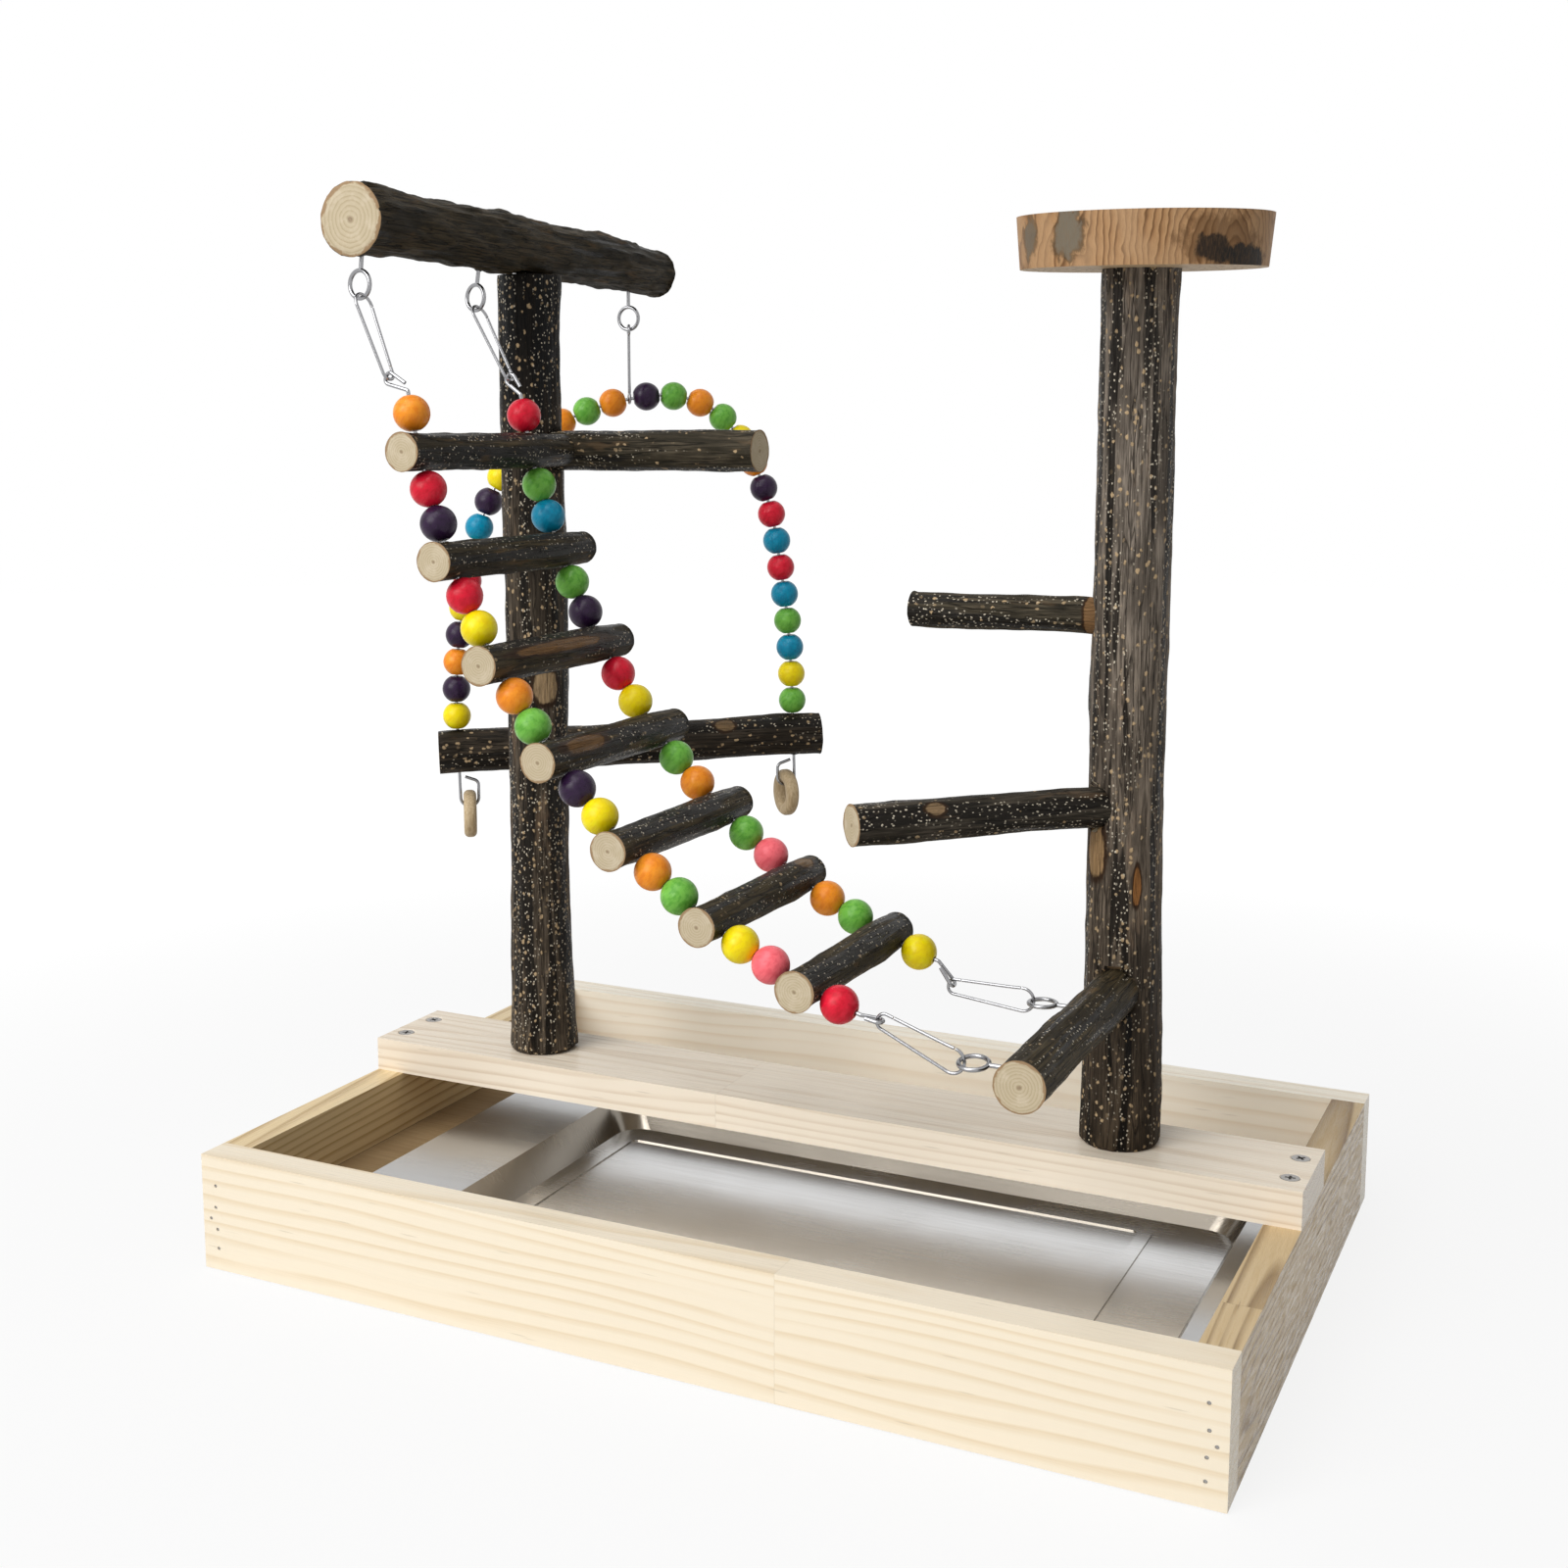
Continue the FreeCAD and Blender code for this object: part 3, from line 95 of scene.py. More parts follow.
def set_light():
    """Soft light from the front left and above, and an even room that shows white behind the stand."""
    add_lamp("front_lamp", place=(-1.35, -3.4, 2.0), aim=(0, 0, 0.2), width=2.8, height=2.0, power=104)
    add_lamp("top_lamp", place=(-0.3, -1.1, 2.4), aim=(0, 0, 0.1), width=1.8, height=1.8, power=29)
    world = bpy.data.worlds.new("room")
    bpy.context.scene.world = world
    world.use_nodes = True
    nodes = world.node_tree.nodes
    links = world.node_tree.links
    path = nodes.new("ShaderNodeLightPath")
    seen = nodes.new("ShaderNodeMath")
    seen.operation = "MAXIMUM"
    links.new(path.outputs["Is Camera Ray"], seen.inputs[0])
    links.new(path.outputs["Is Glossy Ray"], seen.inputs[1])
    clear = nodes.new("ShaderNodeMath")
    clear.operation = "MAXIMUM"
    links.new(seen.outputs[0], clear.inputs[0])
    links.new(path.outputs["Is Transmission Ray"], clear.inputs[1])
    strength = nodes.new("ShaderNodeMapRange")
    links.new(clear.outputs[0], strength.inputs["Value"])
    strength.inputs["To Min"].default_value = ROOM_LIGHT
    strength.inputs["To Max"].default_value = ROOM_SEEN
    sky = nodes["Background"]
    sky.inputs["Color"].default_value = (1, 1, 1, 1)
    links.new(strength.outputs["Result"], sky.inputs["Strength"])
    bpy.context.scene.view_settings.view_transform = "Standard"


def add_floor():
    """A pale floor that keeps the stand's shadow and fades into the white room."""
    bpy.ops.object.select_all(action="DESELECT")
    bpy.ops.mesh.primitive_circle_add(vertices=96, radius=FLOOR_RADIUS, fill_type="NGON",
                                      location=(0, 0, FLOOR_HEIGHT))
    floor = bpy.context.object
    floor.name = "floor"
    pale = Finish("floor_white")
    speck = pale.noise(pale.place((0, 0, 0), UPRIGHT, (0.004, 0.004, 0.004)), 2, 0.5)
    pale.shade(Base_Color=pale.blend(speck, (0.56, 0.56, 0.56), (0.54, 0.54, 0.54)), Roughness=0.8)
    glow = pale.nodes.new("ShaderNodeEmission")
    glow.inputs["Strength"].default_value = FLOOR_GLOW
    path = pale.nodes.new("ShaderNodeLightPath")
    far = pale.rise(pale.vector("LENGTH", pale.place()), *GLOW_DISTANCES, GLOW_FAR_EXTRA)
    share = pale.calc("ADD", far, GLOW_NEAR)
    seen = pale.calc("MAXIMUM", path.outputs["Is Camera Ray"], path.outputs["Is Glossy Ray"])
    mixer = pale.nodes.new("ShaderNodeMixShader")
    pale.links.new(pale.calc("MULTIPLY", share, seen), mixer.inputs[0])
    pale.links.new(pale.shader.outputs[0], mixer.inputs[1])
    pale.links.new(glow.outputs[0], mixer.inputs[2])
    pale.links.new(mixer.outputs[0], pale.nodes["Material Output"].inputs["Surface"])
    floor.data.materials.append(pale.material)


# ------------------------------------------------------------ putting a finish together


class Finish:
    """A node material that is put together step by step.

    A value handed to its methods is a number, a tuple or another node's output.
    """

    def __init__(self, name):
        self.material = bpy.data.materials.new(name)
        self.material.use_nodes = True
        self.nodes = self.material.node_tree.nodes
        self.links = self.material.node_tree.links
        self.shader = self.nodes["Principled BSDF"]

    def plug(self, socket, value):
        """Links a node's output to a socket, or sets the socket's own value."""
        if isinstance(value, bpy.types.NodeSocket):
            self.links.new(value, socket)
        elif socket.type == "RGBA":
            socket.default_value = (*value, 1)
        else:
            socket.default_value = value

    def shade(self, **sockets):
        """Sets the shader's sockets, named with _ for each blank."""
        for name, value in sockets.items():
            self.plug(self.shader.inputs[name.replace("_", " ")], value)

    def place(self, origin=(0, 0, 0), turn=UPRIGHT, grain=(1, 1, 1)):
        """Object coordinates as seen from an origin, turned, and measured in grain sizes."""
        where = self.nodes.new("ShaderNodeTexCoord")
        move = self.nodes.new("ShaderNodeMapping")
        move.vector_type = "TEXTURE"
        self.links.new(where.outputs["Object"], move.inputs["Vector"])
        move.inputs["Location"].default_value = origin
        move.inputs["Rotation"].default_value = turn
        move.inputs["Scale"].default_value = grain
        return move.outputs["Vector"]

    def noise(self, place, detail, rough, scale=1.0, output="Fac"):
        """Soft noise from 0 to 1 with a mean of a half."""
        node = self.nodes.new("ShaderNodeTexNoise")
        self.links.new(place, node.inputs["Vector"])
        node.inputs["Scale"].default_value = scale
        node.inputs["Detail"].default_value = detail
        node.inputs["Roughness"].default_value = rough
        return node.outputs[output]

    def shake(self, place, detail, rough, amount, scale=1.0):
        """A noise vector round zero, to bend a pattern by up to half the amount."""
        colour = self.noise(place, detail, rough, scale, "Color")
        return self.vector("SCALE", self.vector("SUBTRACT", colour, (0.5, 0.5, 0.5)), amount)

    def cells(self, place, scatter, output="Distance"):
        """Cells round scattered points: the distance to the nearest one, or its random colour."""
        node = self.nodes.new("ShaderNodeTexVoronoi")
        self.links.new(place, node.inputs["Vector"])
        node.inputs["Scale"].default_value = 1
        node.inputs["Randomness"].default_value = scatter
        return node.outputs[output]

    def rings(self, place, spacing):
        """Growth rings round local Z: a share that climbs through each ring and drops at its end."""
        node = self.nodes.new("ShaderNodeTexWave")
        node.wave_type = "RINGS"
        node.rings_direction = "Z"
        node.wave_profile = "SAW"
        self.links.new(place, node.inputs["Vector"])
        # At a scale of 1 the node's phase grows by 20 in each unit, and a ring is 2 pi of it.
        node.inputs["Scale"].default_value = 2 * math.pi / 20 / spacing
        node.inputs["Distortion"].default_value = 0
        return node.outputs["Fac"]

    def calc(self, operation, first, second=0.0):
        """Arithmetic on numbers."""
        node = self.nodes.new("ShaderNodeMath")
        node.operation = operation
        self.plug(node.inputs[0], first)
        self.plug(node.inputs[1], second)
        return node.outputs[0]

    def vector(self, operation, first, second=(0, 0, 0)):
        """Arithmetic on vectors. SCALE takes a number as its second value, and LENGTH takes none."""
        node = self.nodes.new("ShaderNodeVectorMath")
        node.operation = operation
        self.plug(node.inputs[0], first)
        if operation == "SCALE":
            self.plug(node.inputs["Scale"], second)
        elif operation != "LENGTH":
            self.plug(node.inputs[1], second)
        return node.outputs["Value" if operation == "LENGTH" else "Vector"]

    def blend(self, share, first, second, way="MIX"):
        """Goes from the first colour to the second as the share goes from 0 to 1."""
        node = self.nodes.new("ShaderNodeMix")
        node.data_type = "RGBA"
        node.blend_type = way
        # A colour mix reads its factor from input 0 and its colours from inputs 6 and 7.
        self.plug(node.inputs[0], share)
        self.plug(node.inputs[6], first)
        self.plug(node.inputs[7], second)
        return node.outputs[2]

    def ramp(self, value, stops):
        """Colours by value, from pairs of position and colour."""
        node = self.nodes.new("ShaderNodeValToRGB")
        self.links.new(value, node.inputs["Fac"])
        points = node.color_ramp.elements
        for number, (position, colour) in enumerate(stops):
            point = points[number] if number < 2 else points.new(position)
            point.position = position
            point.color = (*colour, 1)
        return node.outputs["Color"]

    def rise(self, value, low, high, top=1.0):
        """Goes smoothly from 0 at low to top at high."""
        node = self.nodes.new("ShaderNodeMapRange")
        node.interpolation_type = "SMOOTHSTEP"
        self.plug(node.inputs["Value"], value)
        node.inputs["From Min"].default_value = low
        node.inputs["From Max"].default_value = high
        node.inputs["To Max"].default_value = top
        return node.outputs["Result"]

    def fall(self, value, low, high, top=1.0):
        """Goes smoothly from top at low to 0 at high."""
        return self.calc("SUBTRACT", top, self.rise(value, low, high, top))

    def part(self, value, axis):
        """The X, Y or Z of a vector."""
        node = self.nodes.new("ShaderNodeSeparateXYZ")
        self.links.new(value, node.inputs[0])
        return node.outputs[axis]

    def flatness(self):
        """1 on level faces and 0 on upright ones."""
        surface = self.nodes.new("ShaderNodeNewGeometry")
        return self.calc("ABSOLUTE", self.part(surface.outputs["Normal"], "Z"))

    def relief(self, height, depth):
        """A bumpy normal from heights of 0 to 1 that stand for 0 to depth in metres."""
        node = self.nodes.new("ShaderNodeBump")
        self.links.new(height, node.inputs["Height"])
        node.inputs["Distance"].default_value = depth
        node.inputs["Strength"].default_value = 1.0
        return node.outputs["Normal"]


def shades(colour, factor):
    """A darker or lighter version of a colour."""
    return [channel * factor for channel in colour]


# ------------------------------------------------------------ wood and bark


def pine(name, turn, heart, early, late, spacing=0.0042, waves=0.004, joint=None):
    """A planed pine board: growth rings cut lengthwise, fine fibres, resin streaks, and a glued joint.

    turn points local Z along the board, and heart is a point on the trunk's axis. early and late are the
    pale and the dark colour of a ring. spacing is a ring's width, and waves is how far the rings wander.
    joint is the axis and the place of the glued joint, and how far the rings are shifted beyond it.
    """
    wood = Finish(name)

    def grain(across, along):
        return wood.place(heart, turn, (across, across, along))

    trunk = wood.place(heart, turn)
    seam = 0.0
    if joint:
        axis, at, shift = joint
        along = wood.part(wood.place(), axis)
        beyond = wood.rise(along, at - 0.0001, at + 0.0001)
        trunk = wood.vector("ADD", trunk, wood.vector("SCALE", shift, beyond))
        seam = wood.fall(wood.calc("ABSOLUTE", wood.calc("SUBTRACT", along, at)), 0.0, 0.0004)
    middle = [0.6 * pale + 0.4 * deep for pale, deep in zip(early, late)]
    dark = shades(late, 0.62)
    wander = wood.shake(wood.vector("MULTIPLY", trunk, (20, 20, 3)), 2, 0.5, waves * 4)
    ring = wood.rings(wood.vector("ADD", trunk, wander), spacing)
    lines = wood.ramp(ring, [(0, early), (0.5, early), (0.88, late), (1, early)])
    fading = wood.noise(wood.vector("MULTIPLY", trunk, (60, 60, 7)), 2, 0.5)
    colour = wood.blend(wood.rise(fading, 0.27, 0.52), early, lines)
    fibres = wood.noise(grain(0.0006, 0.03), 3, 0.6)
    colour = wood.blend(wood.rise(fibres, 0.35, 0.75, 0.35), colour, middle)
    broad = wood.noise(grain(0.05, 0.2), 2, 0.5)
    colour = wood.blend(wood.rise(broad, 0.45, 0.75, 0.35), colour, shades(early, 0.93))
    streak = wood.cells(grain(0.0035, 0.05), 1)
    colour = wood.blend(wood.fall(streak, 0.03, 0.12, 0.35), colour, dark)
    colour = wood.blend(wood.calc("MULTIPLY", seam, 0.2), colour, dark)
    wood.shade(Base_Color=colour, Roughness=wood.rise(fibres, 0.2, 0.8, 0.62), Specular_IOR_Level=0.14,
               Normal=wood.relief(fibres, 0.000015))
    return wood.material


STREAK_BLACK = (0.007, 0.0055, 0.004)
SCAR_RIM = (0.030, 0.015, 0.007)
GOLD_DOT = (0.46, 0.33, 0.19)
# Painted highlight: the colour of the glints on the glossy black streaks.
PAINTED_GLINT_DOT = (0.62, 0.55, 0.43)
DOT_RADIUS = 0.32         # in cells


def bark(name, turn, dark, pale, scars=(), gold=0.8, white=0.9, black_from=0.54, tone=None):
    """Bark of a young branch: long fibres, folds, black streaks, pale dots, painted glints and stripped
    scars.

    turn points local Z along the branch. A scar is its centre, its half sizes and the colour of its bare
    wood. gold and white are the shares of cells that hold a dot: gold ones everywhere, and white ones in the
    black streaks, which are painted highlights standing for glints on the glossy bark. A higher black_from
    leaves fewer streaks. tone is a ramp by height that darkens the bark: on the left post it is painted
    shade under the top perch, and on the right post it darkens the foot.
    """
    skin = Finish(name)

    def grain(across, along, origin=(0, 0, 0)):
        return skin.place(origin, turn, (across, across, along))

    fibres = skin.noise(grain(0.0010, 0.018), 4, 0.66)
    patches = skin.noise(grain(0.010, 0.045), 3, 0.6)
    colour = skin.blend(skin.rise(fibres, 0.36, 0.64), dark, pale)
    colour = skin.blend(skin.rise(patches, 0.44, 0.60, 0.75), colour, dark)
    folds = skin.calc("ABSOLUTE", skin.calc("SUBTRACT", skin.noise(grain(0.0042, 0.06), 3, 0.5), 0.5))
    groove = skin.fall(folds, 0.0, 0.022)
    colour = skin.blend(skin.calc("MULTIPLY", groove, 0.75), colour, shades(dark, 0.25))
    streaks = skin.noise(grain(0.006, 0.12, (0.03, 0, 0.02)), 2, 0.5)
    black = skin.rise(streaks, black_from, black_from + 0.05)
    colour = skin.blend(skin.calc("MULTIPLY", black, 0.88), colour, STREAK_BLACK)
    warm = skin.noise(grain(0.007, 0.03, (0, 0.07, 0)), 3, 0.6)
    reddish = [channel + more for channel, more in zip(shades(pale, 0.9), (0.05, 0.018, 0))]
    colour = skin.blend(skin.rise(warm, 0.60, 0.70, 0.5), colour, reddish)
    # Painted shade: the ramp by height darkens the left post's top, where it stands under the top perch.
    if tone:
        height = skin.part(skin.place(), "Z")
        colour = skin.blend(1.0, colour, skin.ramp(height, tone), "MULTIPLY")

    jitter = skin.vector("SCALE", skin.noise(grain(0.002, 0.002), 2, 0.5, output="Color"), 0.6)
    in_streaks = skin.rise(streaks, black_from - 0.05, black_from + 0.02)
    spots = 0.0
    # Gold dots are the bark's lenticels. White dots in the black streaks are painted highlights: glints.
    for across, along, share, tint, where in ((0.0028, 0.0037, gold, GOLD_DOT, 1.0),
                                              (0.0014, 0.0019, white, PAINTED_GLINT_DOT, in_streaks)):
        at = skin.vector("ADD", grain(across, along), jitter)
        dot = skin.fall(skin.cells(at, 0.95), DOT_RADIUS * 0.55, DOT_RADIUS)
        chosen = skin.rise(skin.part(skin.cells(at, 0.95, "Color"), "X"), 1 - share, 1.3 - share)
        dot = skin.calc("MULTIPLY", skin.calc("MULTIPLY", dot, chosen), where)
        colour = skin.blend(dot, colour, tint)
        spots = skin.calc("MAXIMUM", dot, spots)

    bare = 0.0
    for centre, size, inner in scars:
        ragged = skin.shake(skin.place(centre, turn, (0.004, 0.004, 0.009)), 3, 0.6, 0.7)
        away = skin.vector("LENGTH", skin.vector("ADD", skin.place(centre, turn, size), ragged))
        hole = skin.fall(away, 0.80, 1.0)
        lines = skin.noise(skin.place(centre, turn, (0.0007, 0.0007, 0.012)), 3, 0.6)
        wood = skin.blend(skin.rise(lines, 0.3, 0.7), inner, shades(inner, 0.5))
        colour = skin.blend(skin.fall(away, 1.05, 1.35), colour, SCAR_RIM)
        colour = skin.blend(hole, colour, wood)
        bare = skin.calc("MAXIMUM", hole, bare)

    height = skin.calc("ADD", fibres, skin.calc("MULTIPLY", spots, 0.30))
    height = skin.calc("SUBTRACT", height, skin.calc("MULTIPLY", groove, 0.5))
    height = skin.calc("SUBTRACT", height, skin.calc("MULTIPLY", bare, 0.5))
    skin.shade(Base_Color=colour, Roughness=skin.calc("SUBTRACT", 0.60, skin.calc("MULTIPLY", black, 0.24)),
               Specular_IOR_Level=0.10, Normal=skin.relief(height, 0.0007))
    return skin.material


def cut_wood():
    """The sawn end of a branch: faint rings round the pith and a brown rim, read from its own round map.

    Blender maps the two ends of a cone to circles of radius 0.24 round (0.25, 0.25) and (0.75, 0.25).
    """
    end = Finish("cut_end")
    where = end.nodes.new("ShaderNodeTexCoord")
    halves = end.vector("MODULO", where.outputs["UV"], (0.5, 0.5, 1))
    centred = end.vector("SUBTRACT", halves, (0.25, 0.25, 0))
    bent = end.vector("ADD", centred, end.shake(centred, 3, 0.6, 0.03, scale=9))
    colour = end.ramp(end.rings(bent, 0.030), [(0, (0.54, 0.455, 0.31)), (0.5, (0.52, 0.435, 0.295)),
                                               (0.9, (0.42, 0.335, 0.21)), (1, (0.53, 0.445, 0.30))])
    blotch = end.noise(end.place((0, 0, 0), (0.3, 0.2, 0.1), (0.006, 0.006, 0.006)), 3, 0.6)
    colour = end.blend(end.rise(blotch, 0.45, 0.7, 0.5), colour, (0.66, 0.57, 0.43))
    pith = end.fall(end.vector("LENGTH", bent), 0.012, 0.028)
    colour = end.blend(end.calc("MULTIPLY", pith, 0.75), colour, (0.20, 0.13, 0.07))
    saw = end.noise(end.place((0, 0, 0), (0.5, 0.4, 0), (0.0006, 0.006, 0.0006)), 3, 0.6)
    colour = end.blend(end.rise(saw, 0.4, 0.7, 0.3), colour, (0.52, 0.42, 0.28))
    rim = end.calc("ADD", end.vector("LENGTH", centred), end.rise(blotch, 0.3, 0.7, 0.03))
    colour = end.blend(end.rise(rim, 0.225, 0.240, 0.75), colour, (0.24, 0.125, 0.045))
    end.shade(Base_Color=colour, Roughness=0.72, Specular_IOR_Level=0.25, Normal=end.relief(saw, 0.0001))
    return end.material


# Marks on the slice's edge: centre, half sizes, colour and strength. Two grey ones with brown rims are at
# the left, and a brown one with two black hearts is at the right.
EDGE_MARKS = (
    ((0.1249, -0.0378, 0.4400), (0.0072, 0.016, 0.0115), (0.045, 0.028, 0.012), 0.75),
    ((0.1249, -0.0378, 0.4405), (0.0055, 0.016, 0.0095), (0.17, 0.145, 0.105), 0.90),
    ((0.1060, -0.0270, 0.4400), (0.0042, 0.012, 0.0095), (0.045, 0.028, 0.012), 0.65),
    ((0.1060, -0.0270, 0.4400), (0.0030, 0.012, 0.0075), (0.15, 0.125, 0.09), 0.85),
    ((0.1810, -0.0240, 0.4350), (0.0150, 0.020, 0.0115), (0.095, 0.042, 0.013), 0.60),
    ((0.1790, -0.0250, 0.4330), (0.0060, 0.018, 0.0055), (0.008, 0.005, 0.003), 0.95),
    ((0.1880, -0.0180, 0.4300), (0.0085, 0.018, 0.0048), (0.006, 0.0045, 0.003), 1.0),
)
EDGE_KNOT = (0.1845, -0.0235, 0.4270)


def slice_wood(centre):
    """The wooden slice: growth rings above and below, and on its edge a figure that runs round a knot."""
    wood = Finish("platform_wood")

    def grain(across, upright):
        return wood.place(centre, UPRIGHT, (across, across, upright))

    wander = wood.shake(grain(0.030, 0.045), 3, 0.6, 0.030)
    face = wood.ramp(wood.rings(wood.vector("ADD", wood.place(centre), wander), 0.0036),
                     [(0, (0.66, 0.50, 0.32)), (0.6, (0.58, 0.42, 0.25)), (0.92, (0.36, 0.22, 0.11)),
                      (1, (0.62, 0.46, 0.29))])
    twist = wood.shake(grain(0.020, 0.030), 3, 0.55, 0.013)
    knot = wood.place(EDGE_KNOT, (math.radians(90), 0, math.radians(38)), (1, 2.2, 1))
    side = wood.ramp(wood.rings(wood.vector("ADD", knot, twist), 0.0024),
                     [(0, (0.47, 0.275, 0.132)), (0.55, (0.37, 0.20, 0.088)), (0.9, (0.13, 0.060, 0.022)),
                      (1, (0.41, 0.23, 0.105))])
    tone = wood.noise(grain(0.012, 0.030), 2, 0.5)
    side = wood.blend(wood.rise(tone, 0.4, 0.65, 0.6), side, (0.45, 0.28, 0.15))
    frayed = wood.shake(grain(0.005, 0.008), 4, 0.65, 1.7)
    for mark, size, tint, share in EDGE_MARKS:
        away = wood.vector("LENGTH", wood.vector("ADD", wood.place(mark, UPRIGHT, size), frayed))
        side = wood.blend(wood.fall(away, 0.80, 1.15, share), side, tint)
    fibres = wood.noise(grain(0.0006, 0.004), 3, 0.6)
    colour = wood.blend(wood.rise(wood.flatness(), 0.6, 0.85), side, face)
    colour = wood.blend(wood.rise(fibres, 0.4, 0.7, 0.22), colour, (0.20, 0.11, 0.05))
    wood.shade(Base_Color=colour, Roughness=0.55, Specular_IOR_Level=0.2,
               Normal=wood.relief(fibres, 0.00015))
    return wood.material


def turned_wood():
    """The plain pale wood of the chewing rings."""
    ring = Finish("ring_wood")
    grain = ring.noise(ring.place((0, 0, 0), (0.2, 0, 0.6), (0.0008, 0.0008, 0.008)), 3, 0.6)
    colour = ring.blend(ring.rise(grain, 0.3, 0.7), (0.60, 0.47, 0.29), (0.42, 0.30, 0.16))
    ring.shade(Base_Color=colour, Roughness=0.6, Normal=ring.relief(grain, 0.0001))
    return ring.material


def thin_board():
    """The floor panel, with its grain along the box. Its dark brown colours are painted shade, for its place
    low in the box between the left board and the tray.
    """
    panel = Finish("plywood")
    grain = panel.noise(panel.place((0, 0, 0), ALONG_X, (0.0008, 0.0008, 0.03)), 4, 0.6)
    broad = panel.noise(panel.place((0, 0, 0), ALONG_X, (0.02, 0.02, 0.2)), 2, 0.5)
    # Painted shade: both colours are a dark brown, for the panel's shadowed place low in the box.
    colour = panel.blend(panel.rise(grain, 0.3, 0.7), (0.36, 0.25, 0.13), (0.26, 0.17, 0.08))
    colour = panel.blend(panel.rise(broad, 0.4, 0.7, 0.5), colour, (0.24, 0.155, 0.07))
    panel.shade(Base_Color=colour, Roughness=0.62, Normal=panel.relief(grain, 0.0001))
    return panel.material


# ------------------------------------------------------------ metal and paint


def steel(name, colour, rough, brush, painted_reflection_level=1.0):
    """Bright metal: fine brush lines and a faint cloudiness in its gloss.

    When its last value is below 1 it is the tray's sheet: its sloping walls carry a painted reflection of
    the wooden box, darker and more brown, and its raised ledge and rim are painted darker as a dark
    reflection too.
    """
    metal = Finish(name)
    lines = metal.noise(metal.place((0, 0, 0), UPRIGHT, brush), 3, 0.6)
    cloud = metal.noise(metal.place((0, 0, 0), UPRIGHT, (0.06, 0.04, 0.03)), 2, 0.5)
    tint = metal.blend(metal.rise(lines, 0.3, 0.7), colour, shades(colour, 0.93))
    if painted_reflection_level < 1:
        # Painted reflection: the raised ledge and rim are darkened, standing for dark reflections there.
        raised = metal.rise(metal.part(metal.place(), "Z"), 0.026, 0.036, 0.38)
        tint = metal.blend(raised, tint, (0, 0, 0))
        # Painted reflection: the sloping walls take a darker, more brown colour, standing for the mirrored
        # box.
        sloping = metal.calc("SUBTRACT", 1.0, metal.flatness())
        painted_box_reflection = [channel * painted_reflection_level * share for channel, share in zip(colour, (1.0, 0.90, 0.76))]
        tint = metal.blend(metal.rise(sloping, 0.008, 0.07), tint, painted_box_reflection)
    brushed = metal.rise(lines, 0.2, 0.8, rough * 0.25)
    clouded = metal.rise(cloud, 0.3, 0.7, rough * 0.25)
    uneven = metal.calc("ADD", brushed, clouded)
    metal.shade(Base_Color=tint, Roughness=metal.calc("ADD", uneven, rough * 0.75), Metallic=1,
                Normal=metal.relief(lines, 0.000004))
    return metal.material


def stain(name, colour, deep):
    """A wooden bead's satin stain, which the grain drinks unevenly."""
    paint = Finish(name)
    grain = paint.noise(paint.place((0, 0, 0), (0.5, 0.7, 0.3), (0.0016, 0.0016, 0.009)), 3, 0.6)
    cloud = paint.noise(paint.place((0, 0, 0), UPRIGHT, (0.006, 0.006, 0.006)), 2, 0.5)
    shade = paint.blend(paint.rise(grain, 0.38, 0.66, 0.55), colour, deep)
    lighter = [min(1, channel * 1.35 + 0.02) for channel in colour]
    shade = paint.blend(paint.rise(cloud, 0.5, 0.7, 0.3), shade, lighter)
    paint.shade(Base_Color=shade, Roughness=paint.calc("ADD", 0.24, paint.rise(grain, 0.3, 0.7, 0.16)),
                Specular_IOR_Level=0.22, Normal=paint.relief(grain, 0.00008))
    return paint.material


# ------------------------------------------------------------ branches

END_BAND = 0.0006         # width of the flat band just inside a sawn end's edge
END_FADE = 0.0015         # over this length the carving eases off towards a sawn end
END_CARVING = 0.25        # share of the carving that is left at the very end
FIT_REACH = 0.005         # farthest that the bark moves to lie on its solid


def cut_cone(name, start, finish, radius, far, sides):
    """A cone from start to finish with inset ends, its sides cut into nearly square faces."""
    run = finish - start
    bpy.ops.object.select_all(action="DESELECT")
    bpy.ops.mesh.primitive_cone_add(vertices=sides, radius1=radius, radius2=radius * far, depth=run.length,
                                    end_fill_type="NGON", location=(start + finish) / 2,
                                    rotation=run.to_track_quat("Z", "Y").to_euler())
    cone = bpy.context.object
    cone.name = name
    bpy.ops.object.mode_set(mode="EDIT")
    bpy.ops.mesh.select_mode(type="FACE")
    bpy.ops.mesh.select_all(action="DESELECT")
    bpy.ops.object.mode_set(mode="OBJECT")
    for face in cone.data.polygons:
        face.select = len(face.vertices) > 4
    bpy.ops.object.mode_set(mode="EDIT")
    bpy.ops.mesh.inset(thickness=END_BAND, depth=0)
    for _ in range(3):
        bpy.ops.mesh.inset(thickness=radius * 0.2, depth=0)
    bpy.ops.mesh.select_mode(type="EDGE")
    bpy.ops.mesh.select_all(action="DESELECT")
    bpy.ops.object.mode_set(mode="OBJECT")
    # The rings are cut in two steps, because one subdivision makes too few of them.
    ring_length = 2 * math.pi * radius / sides * 1.25
    wanted = max(8, int(run.length / ring_length))
    first = max(2, int(math.sqrt(wanted)))
    for cuts in (first - 1, max(1, round(wanted / first)) - 1):
        points = cone.data.vertices
        for edge in cone.data.edges:
            ahead = points[edge.vertices[1]].co - points[edge.vertices[0]].co
            edge.select = ahead.length > 1e-7 and abs(ahead.normalized().z) > 0.98
        bpy.ops.object.mode_set(mode="EDIT")
        bpy.ops.mesh.subdivide(number_cuts=cuts)
        bpy.ops.mesh.select_all(action="DESELECT")
        bpy.ops.object.mode_set(mode="OBJECT")
    return cone


